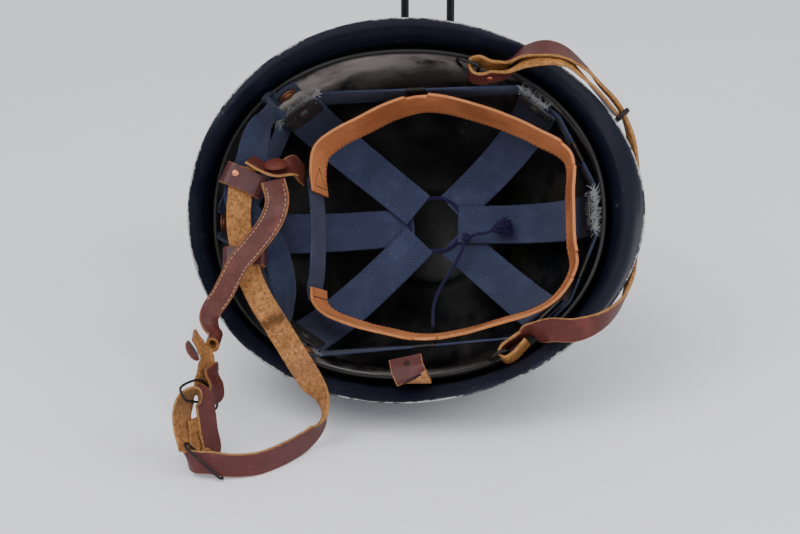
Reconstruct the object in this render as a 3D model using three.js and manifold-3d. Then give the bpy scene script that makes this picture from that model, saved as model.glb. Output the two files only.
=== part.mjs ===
// Police helmet of the two-bowl kind, laid on its crown and leant back against a plain wire stand.
// Millimetres, +Z up. X runs along the helmet from nape to brow, -Y is the side the opening faces.
// The helmet's own axes: x to the brow, y from the rim plane to the crown, z to the wearer's right.
import * as THREE from "three";
import { mergeVertices } from "three/addons/utils/BufferGeometryUtils.js";
import Module from "manifold-3d";

const wasm = await Module();
wasm.setup();

// ---- driving dimensions -------------------------------------------------------------------------
const OPENING_TILT = 29;          // degrees that the opening faces up
const OPENING_YAW = 6;            // degrees that the crown leans towards the brow side
const RIM_CENTRE = { x: -0.3, y: -28, z: 131 };   // where the rim's centre stands over the floor

const RING_POINTS = 44;           // points round each bowl
const EGG = 0.057;                // how much wider the nape side of the bowls is than the brow side
const BROW_LIFT = 15;             // how far the rim rises at the brow
const NAPE_LIFT = 6;              // and at the nape
const LIFT_FADE = 60;             // depth where the rim's rise has died out
const RIM_LENGTH = 141.4;         // half the length of the shell over its rim

const SHELL_WALL = 1.3;
const LINER_WALL = 2.5;

// depth below the rim plane; reach to brow, nape and side; how square the outline is
const SHELL_ROWS = [
  { depth: 0, brow: RIM_LENGTH, nape: RIM_LENGTH, side: 119, square: 2.0 },
  { depth: 2, brow: 139.0, nape: 140.4, side: 117.6, square: 2.0 },
  { depth: 6, brow: 133.8, nape: 137.4, side: 114.4, square: 2.02 },
  { depth: 13, brow: 127.4, nape: 134.2, side: 110.6, square: 2.06 },
  { depth: 30, brow: 121.8, nape: 131.6, side: 108.2, square: 2.12 },
  { depth: 60, brow: 118.5, nape: 127.5, side: 105.2, square: 2.12 },
  { depth: 90, brow: 109.5, nape: 118.5, side: 97.5, square: 2.08 },
  { depth: 115, brow: 96, nape: 104.5, side: 86, square: 2.04 },
  { depth: 135, brow: 79, nape: 86, side: 71.5, square: 2.0 },
  { depth: 150, brow: 60.5, nape: 66, side: 55.5, square: 2.0 },
  { depth: 163.5, brow: 35, nape: 39, side: 32, square: 2.0 },
];
const SHELL_CROWN = 170;

const LINER_ROWS = [
  { depth: 20, brow: 117.6, nape: 128.6, side: 103.6, square: 2.15 },
  { depth: 30, brow: 117.4, nape: 127.8, side: 103.2, square: 2.14 },
  { depth: 60, brow: 114.8, nape: 124.2, side: 101.2, square: 2.12 },
  { depth: 90, brow: 106.4, nape: 115.4, side: 94, square: 2.08 },
  { depth: 115, brow: 92.8, nape: 101.2, side: 82.5, square: 2.04 },
  { depth: 135, brow: 75.6, nape: 82.6, side: 68, square: 2.0 },
  { depth: 150, brow: 56.8, nape: 62.4, side: 52, square: 2.0 },
  { depth: 160.5, brow: 34.5, nape: 38.5, side: 32, square: 2.0 },
];
const LINER_CROWN = 166.6;

// Corners of the suspension, on the liner's inner wall: bearing from the brow and depth.
const CORNERS = [
  { name: "brow", bearing: 1, depth: 45 },
  { name: "brow_right", bearing: 48, depth: 42 },
  { name: "nape_right", bearing: 131, depth: 68 },
  { name: "nape", bearing: 182, depth: 76 },
  { name: "nape_left", bearing: 231, depth: 64 },
  { name: "brow_left", bearing: 317, depth: 43 },
];

const WEB_THICK = 1.4;
const PERIMETER_WIDTH = 20;
const CORNER_CHORD = 15.5;        // half the flat stretch of perimeter webbing at a corner
const WALL_GAP = 0.9;             // air between the liner and the webbing laid against it
const LAYER_GAP = 0.4;
const CORNER_AIR = 1.5;           // more air at the corners, where the wall curves behind flat webbing

const BAND_WIDTH = 28;
const BAND_TAPER = 0.12;          // share of its width that a band loses at the ring
const RING_CENTRE = { x: 4, y: 119, z: 5 };
const RING_RADIUS = 18;
const BAND_LEVEL = 2.3;           // half the step between the two levels of crown bands
const BAND_STEPS = 9;
const BAND_RISE = 0.62;           // share of the climb that a band makes close to the wall
const BAND_RUN = 0.6;             // share of the run that it makes level

const LACE_RADIUS = 1.2;

const PLATE = { width: 25, height: 21, thick: 1.2, hole: 2.1 };
const RIVET = { head: 3.8, rise: 1.5, shank: 1.8 };

const KNOT_RADIUS = 3.2;
const TAIL_RADIUS = 1.1;

const LEATHER = 2;
const BAND_EDGE_DEPTH = 41;       // depth of the head band's rim-side edge over the rim's centre
const BAND_EDGE_SLOPE = 0.13;     // how much it falls towards the brow
const CLIP = { length: 13, slot: 2, wall: 0.6, legs: 9, notch: 13.6, depth: 4 };
const ANCHOR = { radius: 6, thick: 1, gap: { upper: 1.2, lower: 0.7, rear: 0.35 } };
const WEB_LIFT = 2.3;             // of the nape webbing's middle over the liner's wall
const NAPE_WIDTH = 18;
const TAB_WIDTH = 12;
const BRANCH_WIDTH = 15;
const SWEATBAND = { width: 33, thick: 1.8, lean: 9 };

const STRAP_WIDTH = 15;

// Straps outside the helmet, measured from the floor point below the rim's centre:
// centre line (x, y, z) and the direction (u, v, w) of the strap's width.
const CHIN_STRAP = [
  { x: -103.6, y: 21.3, z: 150.4, u: 0.87, v: -0.2, w: -0.46 },
  { x: -105.2, y: 17.2, z: 142.8, u: 0.89, v: -0.17, w: -0.42 },
  { x: -106.6, y: 11.6, z: 133.2, u: 0.96, v: -0.07, w: -0.24 },
  { x: -107, y: 4.8, z: 124.8, u: 1, v: 0.02, w: 0.05 },
  { x: -105.9, y: -2.7, z: 114.6, u: 0.99, v: 0.05, w: 0.13 },
  { x: -102.8, y: -11.5, z: 103.7, u: 0.97, v: 0.09, w: 0.21 },
  { x: -99.2, y: -19.1, z: 93.6, u: 0.95, v: 0.13, w: 0.3 },
  { x: -93.5, y: -26.3, z: 83.5, u: 0.91, v: 0.17, w: 0.39 },
  { x: -82.9, y: -36.7, z: 69.5, u: 0.85, v: 0.21, w: 0.49 },
  { x: -68.7, y: -51.7, z: 51.9, u: 0.88, v: 0.18, w: 0.43 },
  { x: -60.8, y: -60, z: 42.5, u: 0.84, v: -0.1, w: 0.5 },
  { x: -56, y: -62.4, z: 35.6, u: 0.62, v: -0.55, w: 0.55 },
  { x: -54.2, y: -63.4, z: 28.4, u: 0.35, v: -0.8, w: 0.5 },
  { x: -54.4, y: -63.4, z: 21, u: 0.1, v: -0.72, w: 0.68 },
  { x: -57.4, y: -64, z: 13.6, u: 0, v: -0.45, w: 0.9 },
  { x: -63, y: -68.4, z: 9, u: 0, v: -0.15, w: 1 },
  { x: -70.1, y: -77.7, z: 7.9, u: 0, v: 0, w: 1 },
  { x: -77.4, y: -86.5, z: 7.9, u: 0, v: 0, w: 1 },
  { x: -92.7, y: -98.9, z: 8.1, u: 0, v: 0, w: 1 },
  { x: -108.8, y: -103.8, z: 9.8, u: 0, v: 0, w: 1 },
  { x: -119.5, y: -104.2, z: 11.8, u: 0, v: 0, w: 1 },
  { x: -127.5, y: -104, z: 12, u: 0, v: 0, w: 1 },
  { x: -132.2, y: -101.4, z: 12.2, u: -0.2, v: -0.2, w: 0.95 },
  { x: -133, y: -97.4, z: 15, u: -0.4, v: -0.5, w: 0.75 },
  { x: -134, y: -95.6, z: 22, u: -0.55, v: -0.62, w: 0.55 },
  { x: -135.4, y: -94, z: 30, u: -0.62, v: -0.66, w: 0.42 },
  { x: -136, y: -91.4, z: 37.4, u: -0.62, v: -0.66, w: 0.42 },
  { x: -133.6, y: -87, z: 44.3, u: -0.62, v: -0.66, w: 0.42 },
  { x: -128.5, y: -84, z: 46.8, u: -0.62, v: -0.66, w: 0.42 },
  { x: -124.4, y: -82, z: 43.1, u: -0.62, v: -0.66, w: 0.42 },
  { x: -122.5, y: -83.4, z: 33.4, u: -0.62, v: -0.66, w: 0.42 },
  { x: -121.2, y: -86, z: 22.9, u: -0.62, v: -0.66, w: 0.42 },
  { x: -119.6, y: -88.4, z: 13.6, u: -0.62, v: -0.66, w: 0.42 },
  { x: -121, y: -90.4, z: 9.2, u: -0.62, v: -0.66, w: 0.42 },
  { x: -124.8, y: -91.4, z: 11.4, u: -0.62, v: -0.66, w: 0.42 },
  { x: -126.6, y: -90.4, z: 18.7, u: -0.62, v: -0.66, w: 0.42 },
  { x: -127, y: -88.4, z: 27.5, u: -0.62, v: -0.66, w: 0.42 },
  { x: -127.6, y: -87.4, z: 32.9, u: -0.62, v: -0.66, w: 0.42 },
];
const BRANCH_STRAP = [
  { x: -85.4, y: 7.2, z: 146.1, u: 1, v: 0, w: 0 },
  { x: -82.6, y: -2.5, z: 137.5, u: 1, v: 0.03, w: 0.08 },
  { x: -84.8, y: -10.2, z: 129.5, u: 0.98, v: -0.08, w: -0.19 },
  { x: -90.1, y: -16, z: 122, u: 0.88, v: -0.18, w: -0.43 },
  { x: -97.8, y: -21.9, z: 113.9, u: 0.82, v: -0.22, w: -0.53 },
  { x: -105.5, y: -27.7, z: 105.9, u: 0.79, v: -0.24, w: -0.57 },
  { x: -110.7, y: -34.5, z: 97.6, u: 0.83, v: -0.22, w: -0.51 },
  { x: -115.2, y: -40.8, z: 90.5, u: 0.85, v: -0.21, w: -0.49 },
  { x: -120.3, y: -46.8, z: 84.7, u: 0.91, v: -0.17, w: -0.39 },
  { x: -122, y: -50.6, z: 79.8, u: 0.85, v: 0.35, w: -0.15 },
  { x: -119.4, y: -53, z: 72.4, u: 0.35, v: 0.92, w: 0.15 },
];
const BRANCH_ROLL = [
  { x: -115.9, y: -54.8, z: 68.3, u: 0.12, v: 0.97, w: 0.22 },
  { x: -117.6, y: -54.8, z: 64.8, u: 0.12, v: 0.97, w: 0.22 },
  { x: -120.7, y: -54.8, z: 64.8, u: 0.12, v: 0.97, w: 0.22 },
  { x: -122.1, y: -54.8, z: 68.3, u: 0.12, v: 0.97, w: 0.22 },
  { x: -120.4, y: -54.8, z: 71.7, u: 0.12, v: 0.97, w: 0.22 },
  { x: -117.4, y: -54.8, z: 71.7, u: 0.12, v: 0.97, w: 0.22 },
];
const LINK_WIDTH = 13;
const LINK_STRAP = [
  { x: -129.3, y: -69.1, z: 77.9, u: 0.38, v: 0.45, w: -0.81 },
  { x: -125.6, y: -68.1, z: 69.6, u: 0.38, v: 0.45, w: -0.81 },
  { x: -123, y: -67.1, z: 62, u: 0.38, v: 0.45, w: -0.81 },
  { x: -123.6, y: -67.6, z: 53, u: 0.38, v: 0.45, w: -0.81 },
  { x: -125.6, y: -68.1, z: 44.4, u: 0.38, v: 0.45, w: -0.81 },
  { x: -124.4, y: -68.6, z: 38.4, u: 0.38, v: 0.45, w: -0.81 },
  { x: -121.6, y: -68.8, z: 36, u: 0.38, v: 0.45, w: -0.81 },
  { x: -118.6, y: -68.6, z: 37.6, u: 0.38, v: 0.45, w: -0.81 },
  { x: -117.8, y: -68.1, z: 43.6, u: 0.38, v: 0.45, w: -0.81 },
  { x: -119.6, y: -67.6, z: 51.7, u: 0.38, v: 0.45, w: -0.81 },
  { x: -120.2, y: -67.1, z: 57, u: 0.38, v: 0.45, w: -0.81 },
];
const LINK_RIVET = { spot: [-129.8, -69.9, 68.3], facing: [-0.87, -0.14, -0.48] };

// Wire ring between the link strap's fold and the top of the chin strap's loop.
const RING_WIRE = 0.9;
const WIRE_RING = [
  { x: -125.3, y: -72.5, z: 49.4 },
  { x: -121.9, y: -68.4, z: 42 },
  { x: -117.9, y: -63.5, z: 33.6 },
  { x: -118.4, y: -64, z: 27 },
  { x: -123.2, y: -73.2, z: 32.2 },
  { x: -123.7, y: -77.6, z: 36.9 },
  { x: -128.5, y: -84.9, z: 41.8 },
  { x: -133.4, y: -94.6, z: 48.4 },
  { x: -136.2, y: -91.1, z: 53.4 },
  { x: -130.8, y: -82.1, z: 53.8 },
];

// Closed bands: centre, direction of the long side, axis, outer sizes and the band's own width.
const KEEPER_UPPER = {
  centre: [-104.4, 18.4, 142.5], across: [0.85, -0.2, -0.5], along: [0.4, 0.42, 0.8],
  wide: 27.6, deep: 10.4, band: 14, turns: 5,
};
const KEEPER_LOWER = {
  centre: [-102.8, -11.7, 103.6], across: [1, -0.03, -0.02], along: [0, 0.6, 0.8],
  wide: 27, deep: 8, band: 12, turns: 4,
};
const CHIN_SLIDE = {
  centre: [-122.8, -104.2, 12.7], across: [0.68, 0, -0.73], along: [0.73, 0, 0.68],
  wide: 32, deep: 7, band: 1.6, turns: 3, thick: 1.1,
};
const KEEPER_RIVET = { across: -6, along: 1.5 };   // from the upper keeper's middle

// ---- leather inside and over the rim, measured like the helmet ----------------------------------
const JOINT_WIDTH = 14;
const STRAP_JOINT = [
  { x: -100.6, y: -4.9, z: 31.2, u: 0, v: 0.85, w: 0.5 },
  { x: -92.2, y: -4.5, z: 26.3, u: 0, v: 0.85, w: 0.5 },
  { x: -84, y: -3.8, z: 23.4, u: 0, v: 0.85, w: 0.5 },
  { x: -77.6, y: 0.6, z: 25.4, u: 0, v: 0.8, w: 0.6 },
  { x: -75.2, y: 8, z: 28.4, u: -0.1, v: 0.5, w: 0.85 },
  { x: -75.2, y: 22, z: 29.6, u: 0, v: 0.1, w: 1 },
  { x: -76.2, y: 38, z: 30, u: 0, v: 0, w: 1 },
  { x: -76.2, y: 56, z: 30, u: 0, v: 0, w: 1 },
];
const JOINT_RIVET = { spot: [-84, -6, 26.8], facing: [0, -0.5, 0.85] };

const NAPE_WEB = [
  { x: -89.2, y: 14.8, z: 66, u: 0.35, v: 0.9, w: 0.2 },
  { x: -95.8, y: 12, z: 55.6, u: 0.6, v: 0.78, w: 0.1 },
  { x: -99.4, y: 7.4, z: 44, u: 0.8, v: 0.5, w: -0.1 },
  { x: -101.2, y: 1.9, z: 31, u: 0.86, v: 0.15, w: -0.48 },
  { x: -104.8, y: 0.9, z: 20.6, u: 0.86, v: 0.14, w: -0.48 },
  { x: -108.4, y: 1, z: 10.8, u: 0.9, v: 0.12, w: -0.38 },
  { x: -105, y: 1.4, z: 0.6, u: 0.97, v: 0.15, w: 0 },
  { x: -96.4, y: 2, z: -9.2, u: 0.92, v: 0.3, w: 0.25 },
  { x: -88.1, y: 3, z: -19.8, u: 0.85, v: 0.45, w: 0.25 },
  { x: -83.3, y: 5, z: -33.3, u: 0.8, v: 0.58, w: 0.15 },
  { x: -80.8, y: 10, z: -48.5, u: 0.7, v: 0.7, w: 0.1 },
  { x: -81, y: 17, z: -60.5, u: 0.4, v: 0.9, w: 0.1 },
  { x: -81.6, y: 23.5, z: -71.5, u: 0.15, v: 0.98, w: 0.05 },
];
const TAB_SPREAD = 6;
const TAB_UPPER = [
  { x: -118, y: 15, z: 12, u: 0.1, v: 0.97, w: 0.2 },
  { x: -110.5, y: 11.5, z: 17, u: 0.2, v: 0.95, w: 0.2 },
];
const TAB_LOWER = [
  { x: -114, y: 14, z: -20, u: 0.1, v: 1, w: 0 },
  { x: -101, y: 11, z: -28, u: 0.2, v: 1, w: 0 },
  { x: -93, y: 9.5, z: -31, u: 0.2, v: 1, w: 0 },
];

// Brow strap: from near its slide to the right loop, back over the rim, round the brow, and to the left loop.
const BROW_WIDTH = 14.6;
const BROW_STRAP = [
  { x: 125, y: 16.8, z: 58, u: -0.1, v: 0.99, w: 0.1 },
  { x: 120.2, y: 13, z: 63.6, u: -0.1, v: 0.99, w: 0.1 },
  { x: 112, y: 6.7, z: 72.6, u: -0.1, v: 0.98, w: 0.17 },
  { x: 102.8, y: 0.7, z: 81.6, u: -0.1, v: 0.91, w: 0.4 },
  { x: 93.6, y: -5.6, z: 88.8, u: -0.08, v: 0.74, w: 0.66 },
  { x: 81.8, y: -7.3, z: 90.8, u: -0.07, v: 0.64, w: 0.77 },
  { x: 68.8, y: -4, z: 88.2, u: -0.09, v: 0.84, w: 0.53 },
  { x: 58, y: 4.2, z: 84.6, u: -0.1, v: 0.99, w: 0.02 },
  { x: 49.2, y: 9.6, z: 83.1, u: -0.1, v: 0.97, w: -0.23 },
  { x: 41.6, y: 10.8, z: 81.9, u: -0.1, v: 0.97, w: -0.23 },
  { x: 36.6, y: 11.1, z: 83.1, u: -0.1, v: 0.97, w: -0.23 },
  { x: 34.2, y: 11.1, z: 87.5, u: -0.1, v: 0.97, w: -0.23 },
  { x: 35.4, y: 11.1, z: 91.9, u: -0.1, v: 0.97, w: -0.23 },
  { x: 40.4, y: 10.8, z: 92.9, u: -0.1, v: 0.97, w: -0.23 },
  { x: 48, y: 9.6, z: 90, u: -0.1, v: 0.97, w: -0.23 },
  { x: 58, y: 4.2, z: 90.8, u: -0.1, v: 0.99, w: 0.02 },
  { x: 68.8, y: -4, z: 95.2, u: -0.09, v: 0.84, w: 0.53 },
  { x: 81.9, y: -7.3, z: 96.3, u: -0.07, v: 0.64, w: 0.77 },
  { x: 94, y: -5.6, z: 93.6, u: -0.08, v: 0.74, w: 0.66 },
  { x: 105.7, y: 0.7, z: 85.4, u: -0.1, v: 0.91, w: 0.4 },
  { x: 115.2, y: 6.7, z: 75.4, u: -0.1, v: 0.98, w: 0.17 },
  { x: 122.6, y: 12.7, z: 67.9, u: -0.1, v: 0.99, w: 0.1 },
  { x: 128, y: 16.8, z: 60.1, u: -0.1, v: 0.99, w: 0.1 },
  { x: 133.4, y: 21, z: 44, u: -0.25, v: 0.96, w: 0.05 },
  { x: 134.6, y: 25.5, z: 24, u: -0.4, v: 0.9, w: 0 },
  { x: 134.6, y: 27, z: 0, u: -0.45, v: 0.89, w: 0 },
  { x: 133.4, y: 25.5, z: -24, u: -0.4, v: 0.9, w: 0 },
  { x: 131, y: 19.4, z: -45, u: -0.25, v: 0.95, w: -0.05 },
  { x: 125.6, y: 8.6, z: -59, u: -0.1, v: 0.95, w: -0.3 },
  { x: 114, y: -3, z: -70, u: 0, v: 0.75, w: -0.65 },
  { x: 98.3, y: -7, z: -75.7, u: 0, v: 0.35, w: -0.94 },
  { x: 84.5, y: -5, z: -75.4, u: 0, v: 0.25, w: -0.97 },
  { x: 75.3, y: 2, z: -76.3, u: 0.05, v: 0.7, w: -0.7 },
  { x: 68.6, y: 8.5, z: -76, u: 0.1, v: 0.97, w: -0.2 },
  { x: 60.7, y: 10.5, z: -80.5, u: 0.1, v: 0.97, w: -0.2 },
  { x: 54.5, y: 11.1, z: -85.5, u: 0.1, v: 0.97, w: -0.2 },
  { x: 53, y: 11.1, z: -89.8, u: 0.1, v: 0.97, w: -0.2 },
  { x: 56.3, y: 10.8, z: -92.2, u: 0.1, v: 0.97, w: -0.2 },
  { x: 61.2, y: 10.6, z: -89.5, u: 0.1, v: 0.97, w: -0.2 },
  { x: 66.1, y: 10.1, z: -84.4, u: 0.1, v: 0.97, w: -0.2 },
  { x: 69.1, y: 10.1, z: -81, u: 0.1, v: 0.97, w: -0.2 },
];
const BROW_SLIDE = {
  centre: [127.7, 16.9, 58.2], across: [-0.1, 0.99, 0.1], along: [0.64, 0.1, -0.73],
  wide: 22.6, deep: 10.1, band: 3, turns: 4, thick: 1,
};
const BROW_RIVET_RIGHT = { spot: [47, 8.4, 81.4], facing: [0, -0.25, -0.97] };

// Wire loops on the liner's wall that hold the brow strap's ends.
const LOOP_WIRE = 1.1;
const BROW_LOOP_RIGHT = [
  { x: 40.4, y: 2.4, z: 88.4 },
  { x: 39.4, y: 11, z: 87.2 },
  { x: 38.4, y: 18.8, z: 85.6 },
  { x: 34.6, y: 19.8, z: 86.6 },
  { x: 28.4, y: 18.4, z: 91.8 },
  { x: 26.8, y: 11, z: 93 },
  { x: 28.4, y: 2.8, z: 93 },
  { x: 34.6, y: 1.4, z: 90.8 },
];
const BROW_LOOP_LEFT = [
  { x: 56, y: 2.4, z: -87 },
  { x: 57, y: 11, z: -88.2 },
  { x: 57.6, y: 19.2, z: -87.6 },
  { x: 53, y: 19.8, z: -88.2 },
  { x: 47.6, y: 18.4, z: -90.6 },
  { x: 46.4, y: 11, z: -92 },
  { x: 47.4, y: 3.2, z: -91.4 },
  { x: 51.4, y: 1.2, z: -88.6 },
];
const SIDE_WIDTH = 20;
const SIDE_TAB = [
  { x: -4, y: 32, z: -98.2, u: 1, v: 0, w: 0 },
  { x: -3, y: 18, z: -99.3, u: 1, v: 0, w: 0 },
  { x: -1, y: 8, z: -102.5, u: 1, v: 0, w: 0 },
  { x: 1, y: 2, z: -106, u: 1, v: 0, w: 0 },
  { x: 0, y: -2.4, z: -104.5, u: 1, v: 0, w: 0 },
  { x: -3, y: -1.5, z: -98.6, u: 1, v: 0, w: 0 },
  { x: -5, y: 1.6, z: -91, u: 1, v: 0, w: 0 },
];

const WIRE = 2.7;                 // radius of the stand's rod
const STAND = { uprightLeft: -4.5, uprightRight: 26, back: 160.9, front: 46, left: -58, right: 78, top: 246, bend: 12 };

// ---- finishes -----------------------------------------------------------------------------------
const finish = (color, roughness, metalness = 0) =>
  () => new THREE.MeshStandardMaterial({ color, roughness, metalness });
const navyPaint = finish(0x10151f, 0.35, 0.3);
const linerFibre = finish(0x24241f, 0.55);
const navyWebbing = finish(0x232b47, 0.85);
const purpleLace = finish(0x2f2448, 0.8);
const tanLeather = finish(0xb8743c, 0.65);
const brownLeather = finish(0x5a2f24, 0.4);
const darkMetal = finish(0x2a2a2b, 0.4, 0.8);
const copper = finish(0xa8644a, 0.35, 0.9);
const blackWire = finish(0x101010, 0.45, 0.5);

// ---- shared solids ------------------------------------------------------------------------------
const rad = THREE.MathUtils.degToRad;
const vec = (x, y, z) => new THREE.Vector3(x, y, z);
const at = (row) => vec(row.x, row.y, row.z);

// A closed solid over rings of points. A tip closes an end at a point, otherwise the end ring is flat.
function skin(rings, { loop = false, startTip = null, endTip = null } = {}) {
  const count = rings[0].length;
  const points = rings.flat();
  const faces = [];
  const last = rings.length - 1;
  for (let r = 0; r < (loop ? rings.length : last); r++) {
    const here = r * count;
    const next = ((r + 1) % rings.length) * count;
    for (let i = 0; i < count; i++) {
      const j = (i + 1) % count;
      faces.push([here + i, here + j, next + j], [here + i, next + j, next + i]);
    }
  }
  if (!loop) {
    closeEnd(points, faces, 0, count, startTip, true);
    closeEnd(points, faces, last * count, count, endTip, false);
  }
  return solidFrom(points, faces);
}

function closeEnd(points, faces, start, count, tip, backwards) {
  const hub = tip ? points.push(tip) - 1 : start;
  for (let i = tip ? 0 : 1; i < (tip ? count : count - 1); i++) {
    const a = start + i;
    const b = start + ((i + 1) % count);
    faces.push(backwards ? [hub, b, a] : [hub, a, b]);
  }
}

// Builds the geometry and turns its faces outwards.
function solidFrom(points, faces) {
  let volume = 0;
  for (const [a, b, c] of faces) {
    volume += points[a].dot(vec(0, 0, 0).crossVectors(points[b], points[c]));
  }
  const order = volume < 0 ? faces.map(([a, b, c]) => [a, c, b]) : faces;
  const geometry = new THREE.BufferGeometry();
  const flat = new Float32Array(points.flatMap((p) => [p.x, p.y, p.z]));
  geometry.setAttribute("position", new THREE.BufferAttribute(flat, 3));
  geometry.setIndex(order.flat());
  return geometry;
}

function toManifold(geometry) {
  const bare = geometry.clone();
  bare.deleteAttribute("normal");
  bare.deleteAttribute("uv");
  const merged = mergeVertices(bare, 1e-4);
  const vertProperties = new Float32Array(merged.attributes.position.array);
  const triVerts = new Uint32Array(merged.index.array);
  return new wasm.Manifold(new wasm.Mesh({ numProp: 3, vertProperties, triVerts }));
}

function fromManifold(solid) {
  const mesh = solid.getMesh();
  const geometry = new THREE.BufferGeometry();
  geometry.setAttribute("position", new THREE.BufferAttribute(new Float32Array(mesh.vertProperties), 3));
  geometry.setIndex(Array.from(mesh.triVerts));
  return geometry;
}

const fused = (...parts) => fromManifold(parts.map(toManifold).reduce((a, b) => a.add(b)));

// A flat strap along rows of centre (x, y, z) and width direction (u, v, w), smoothed between rows.
function strap(rows, width, thick, steps, { loop = false, taper = 0 } = {}) {
  const centres = new THREE.CatmullRomCurve3(rows.map(at), loop, "centripetal");
  const sides = new THREE.CatmullRomCurve3(rows.map((r) => vec(r.u, r.v, r.w)), loop, "centripetal");
  const rings = [];
  for (let i = 0; i < (loop ? steps : steps + 1); i++) {
    const along = i / steps;
    const wide = width * (1 - taper * along);
    rings.push(strapSection(centres.getPoint(along), centres.getTangent(along), sides.getPoint(along), wide, thick));
  }
  return skin(rings, { loop });
}

function strapSection(centre, tangent, side, width, thick) {
  const across = side.clone().addScaledVector(tangent, -side.dot(tangent)).normalize().multiplyScalar(width / 2);
  const out = vec(0, 0, 0).crossVectors(tangent, across).normalize().multiplyScalar(thick / 2);
  return [
    centre.clone().sub(across).sub(out),
    centre.clone().add(across).sub(out),
    centre.clone().add(across).add(out),
    centre.clone().sub(across).add(out),
  ];
}

// A round rod along a list of points.
function rod(points, radius, sides, steps, loop = false) {
  const path = new THREE.CatmullRomCurve3(points.map(at), loop, "centripetal");
  const frames = path.computeFrenetFrames(steps, loop);
  const rings = [];
  for (let i = 0; i < (loop ? steps : steps + 1); i++) {
    const centre = path.getPointAt(i / steps);
    rings.push(roundSection(centre, frames.normals[i], frames.binormals[i], radius, sides));
  }
  return skin(rings, { loop });
}

function roundSection(centre, first, second, radius, sides) {
  return Array.from({ length: sides }, (_, i) => {
    const angle = ((i + 0.5) * 2 * Math.PI) / sides;
    return centre.clone()
      .addScaledVector(first, radius * Math.cos(angle))
      .addScaledVector(second, radius * Math.sin(angle));
  });
}

// A rivet with its head's flat side at y = 0 and its shank running towards -y.
function rivetSolid({ head, rise, shank }, grip, sides = 12) {
  const profile = [
    new THREE.Vector2(0, -grip),
    new THREE.Vector2(shank, -grip),
    new THREE.Vector2(shank, 0),
    new THREE.Vector2(head, 0),
    new THREE.Vector2(head * 0.86, rise * 0.62),
    new THREE.Vector2(head * 0.45, rise * 0.95),
    new THREE.Vector2(0, rise),
  ];
  return new THREE.LatheGeometry(profile, sides);
}

// Turns and moves a geometry so that its own x, y, z run along the three given directions.
function placed(geometry, centre, xDir, yDir, zDir) {
  const matrix = new THREE.Matrix4().makeBasis(xDir, yDir, zDir).setPosition(centre);
  return geometry.clone().applyMatrix4(matrix);
}

const helmet = new THREE.Group();
const floorPieces = new THREE.Group();

function add(group, name, geometry, material) {
  const mesh = new THREE.Mesh(geometry, material());
  mesh.name = name;
  group.add(mesh);
}

// ---- bowls --------------------------------------------------------------------------------------
function rimLift(x, depth) {
  const amount = x > 0 ? BROW_LIFT : NAPE_LIFT;
  const fade = Math.max(0, 1 - depth / LIFT_FADE);
  return amount * (x / RIM_LENGTH) ** 2 * fade;
}

// One point of a bowl's outline at a bearing from the brow.
function outlinePoint(row, bearing) {
  const along = Math.cos(bearing);
  const across = Math.sin(bearing);
  const power = 2 / row.square;
  const x = Math.sign(along) * Math.abs(along) ** power * (along > 0 ? row.brow : row.nape);
  const egg = EGG * Math.max(0, 1 - row.depth / SHELL_CROWN);
  const z = Math.sign(across) * Math.abs(across) ** power * row.side * (1 - egg * along);
  return vec(x, row.depth + rimLift(x, row.depth), z);
}

const bearings = Array.from({ length: RING_POINTS }, (_, i) => (i * 2 * Math.PI) / RING_POINTS);
const outline = (row) => bearings.map((bearing) => outlinePoint(row, bearing));

// The rows of the inner face, one wall's thickness in from the outer rows.
function innerRows(rows, crown, wall) {
  return rows.map((row, i) => {
    const before = rows[Math.max(0, i - 1)];
    const after = rows[i + 1] ?? { depth: crown, side: 0, brow: 0 };
    const step = new THREE.Vector2(after.depth - before.depth, before.side - after.side).normalize();
    const inset = wall * step.x;
    return {
      depth: row.depth - (i === 0 ? 0 : wall * step.y),
      brow: row.brow - inset,
      nape: row.nape - inset,
      side: row.side - inset,
      square: row.square,
    };
  });
}

function bowl(rows, crown, wall) {
  const inner = innerRows(rows, crown, wall);
  const edge = [rows[0], inner[0]].map((row) => ({ ...row, depth: row.depth - wall * 0.4 }));
  const between = { ...edge[0] };
  between.brow = (edge[0].brow + edge[1].brow) / 2;
  between.nape = (edge[0].nape + edge[1].nape) / 2;
  between.side = (edge[0].side + edge[1].side) / 2;
  const order = [...[...inner].reverse(), between, ...rows];
  return skin(order.map(outline), { startTip: vec(0, crown - wall, 0), endTip: vec(0, crown, 0) });
}

add(helmet, "steel_shell", bowl(SHELL_ROWS, SHELL_CROWN, SHELL_WALL), navyPaint);
add(helmet, "liner_bowl", bowl(LINER_ROWS, LINER_CROWN, LINER_WALL), linerFibre);

// The liner's inner wall at a bearing and depth, with its run-up direction, its tangent and its inward normal.
const linerInner = innerRows(LINER_ROWS, LINER_CROWN, LINER_WALL);

function wallRow(depth) {
  const upper = linerInner.findIndex((row) => row.depth > depth);
  const a = linerInner[Math.max(0, upper - 1)];
  const b = linerInner[Math.max(1, upper)];
  const share = (depth - a.depth) / (b.depth - a.depth);
  const mix = (key) => a[key] + (b[key] - a[key]) * share;
  return { depth, brow: mix("brow"), nape: mix("nape"), side: mix("side"), square: mix("square") };
}

function wallAt(bearingDegrees, depth) {
  const bearing = rad(bearingDegrees);
  const point = outlinePoint(wallRow(depth), bearing);
  const up = outlinePoint(wallRow(depth + 6), bearing).sub(outlinePoint(wallRow(depth - 6), bearing)).normalize();
  const ahead = outlinePoint(wallRow(depth), bearing + 0.05);
  const along = ahead.sub(outlinePoint(wallRow(depth), bearing - 0.05)).normalize();
  along.addScaledVector(up, -along.dot(up)).normalize();
  const inward = vec(0, 0, 0).crossVectors(along, up).normalize();
  return { point, up, along, inward };
}

const inset = (wall, distance) => wall.point.clone().addScaledVector(wall.inward, distance);

// ---- suspension ---------------------------------------------------------------------------------
const cornerWalls = CORNERS.map((corner) => wallAt(corner.bearing, corner.depth));

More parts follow.
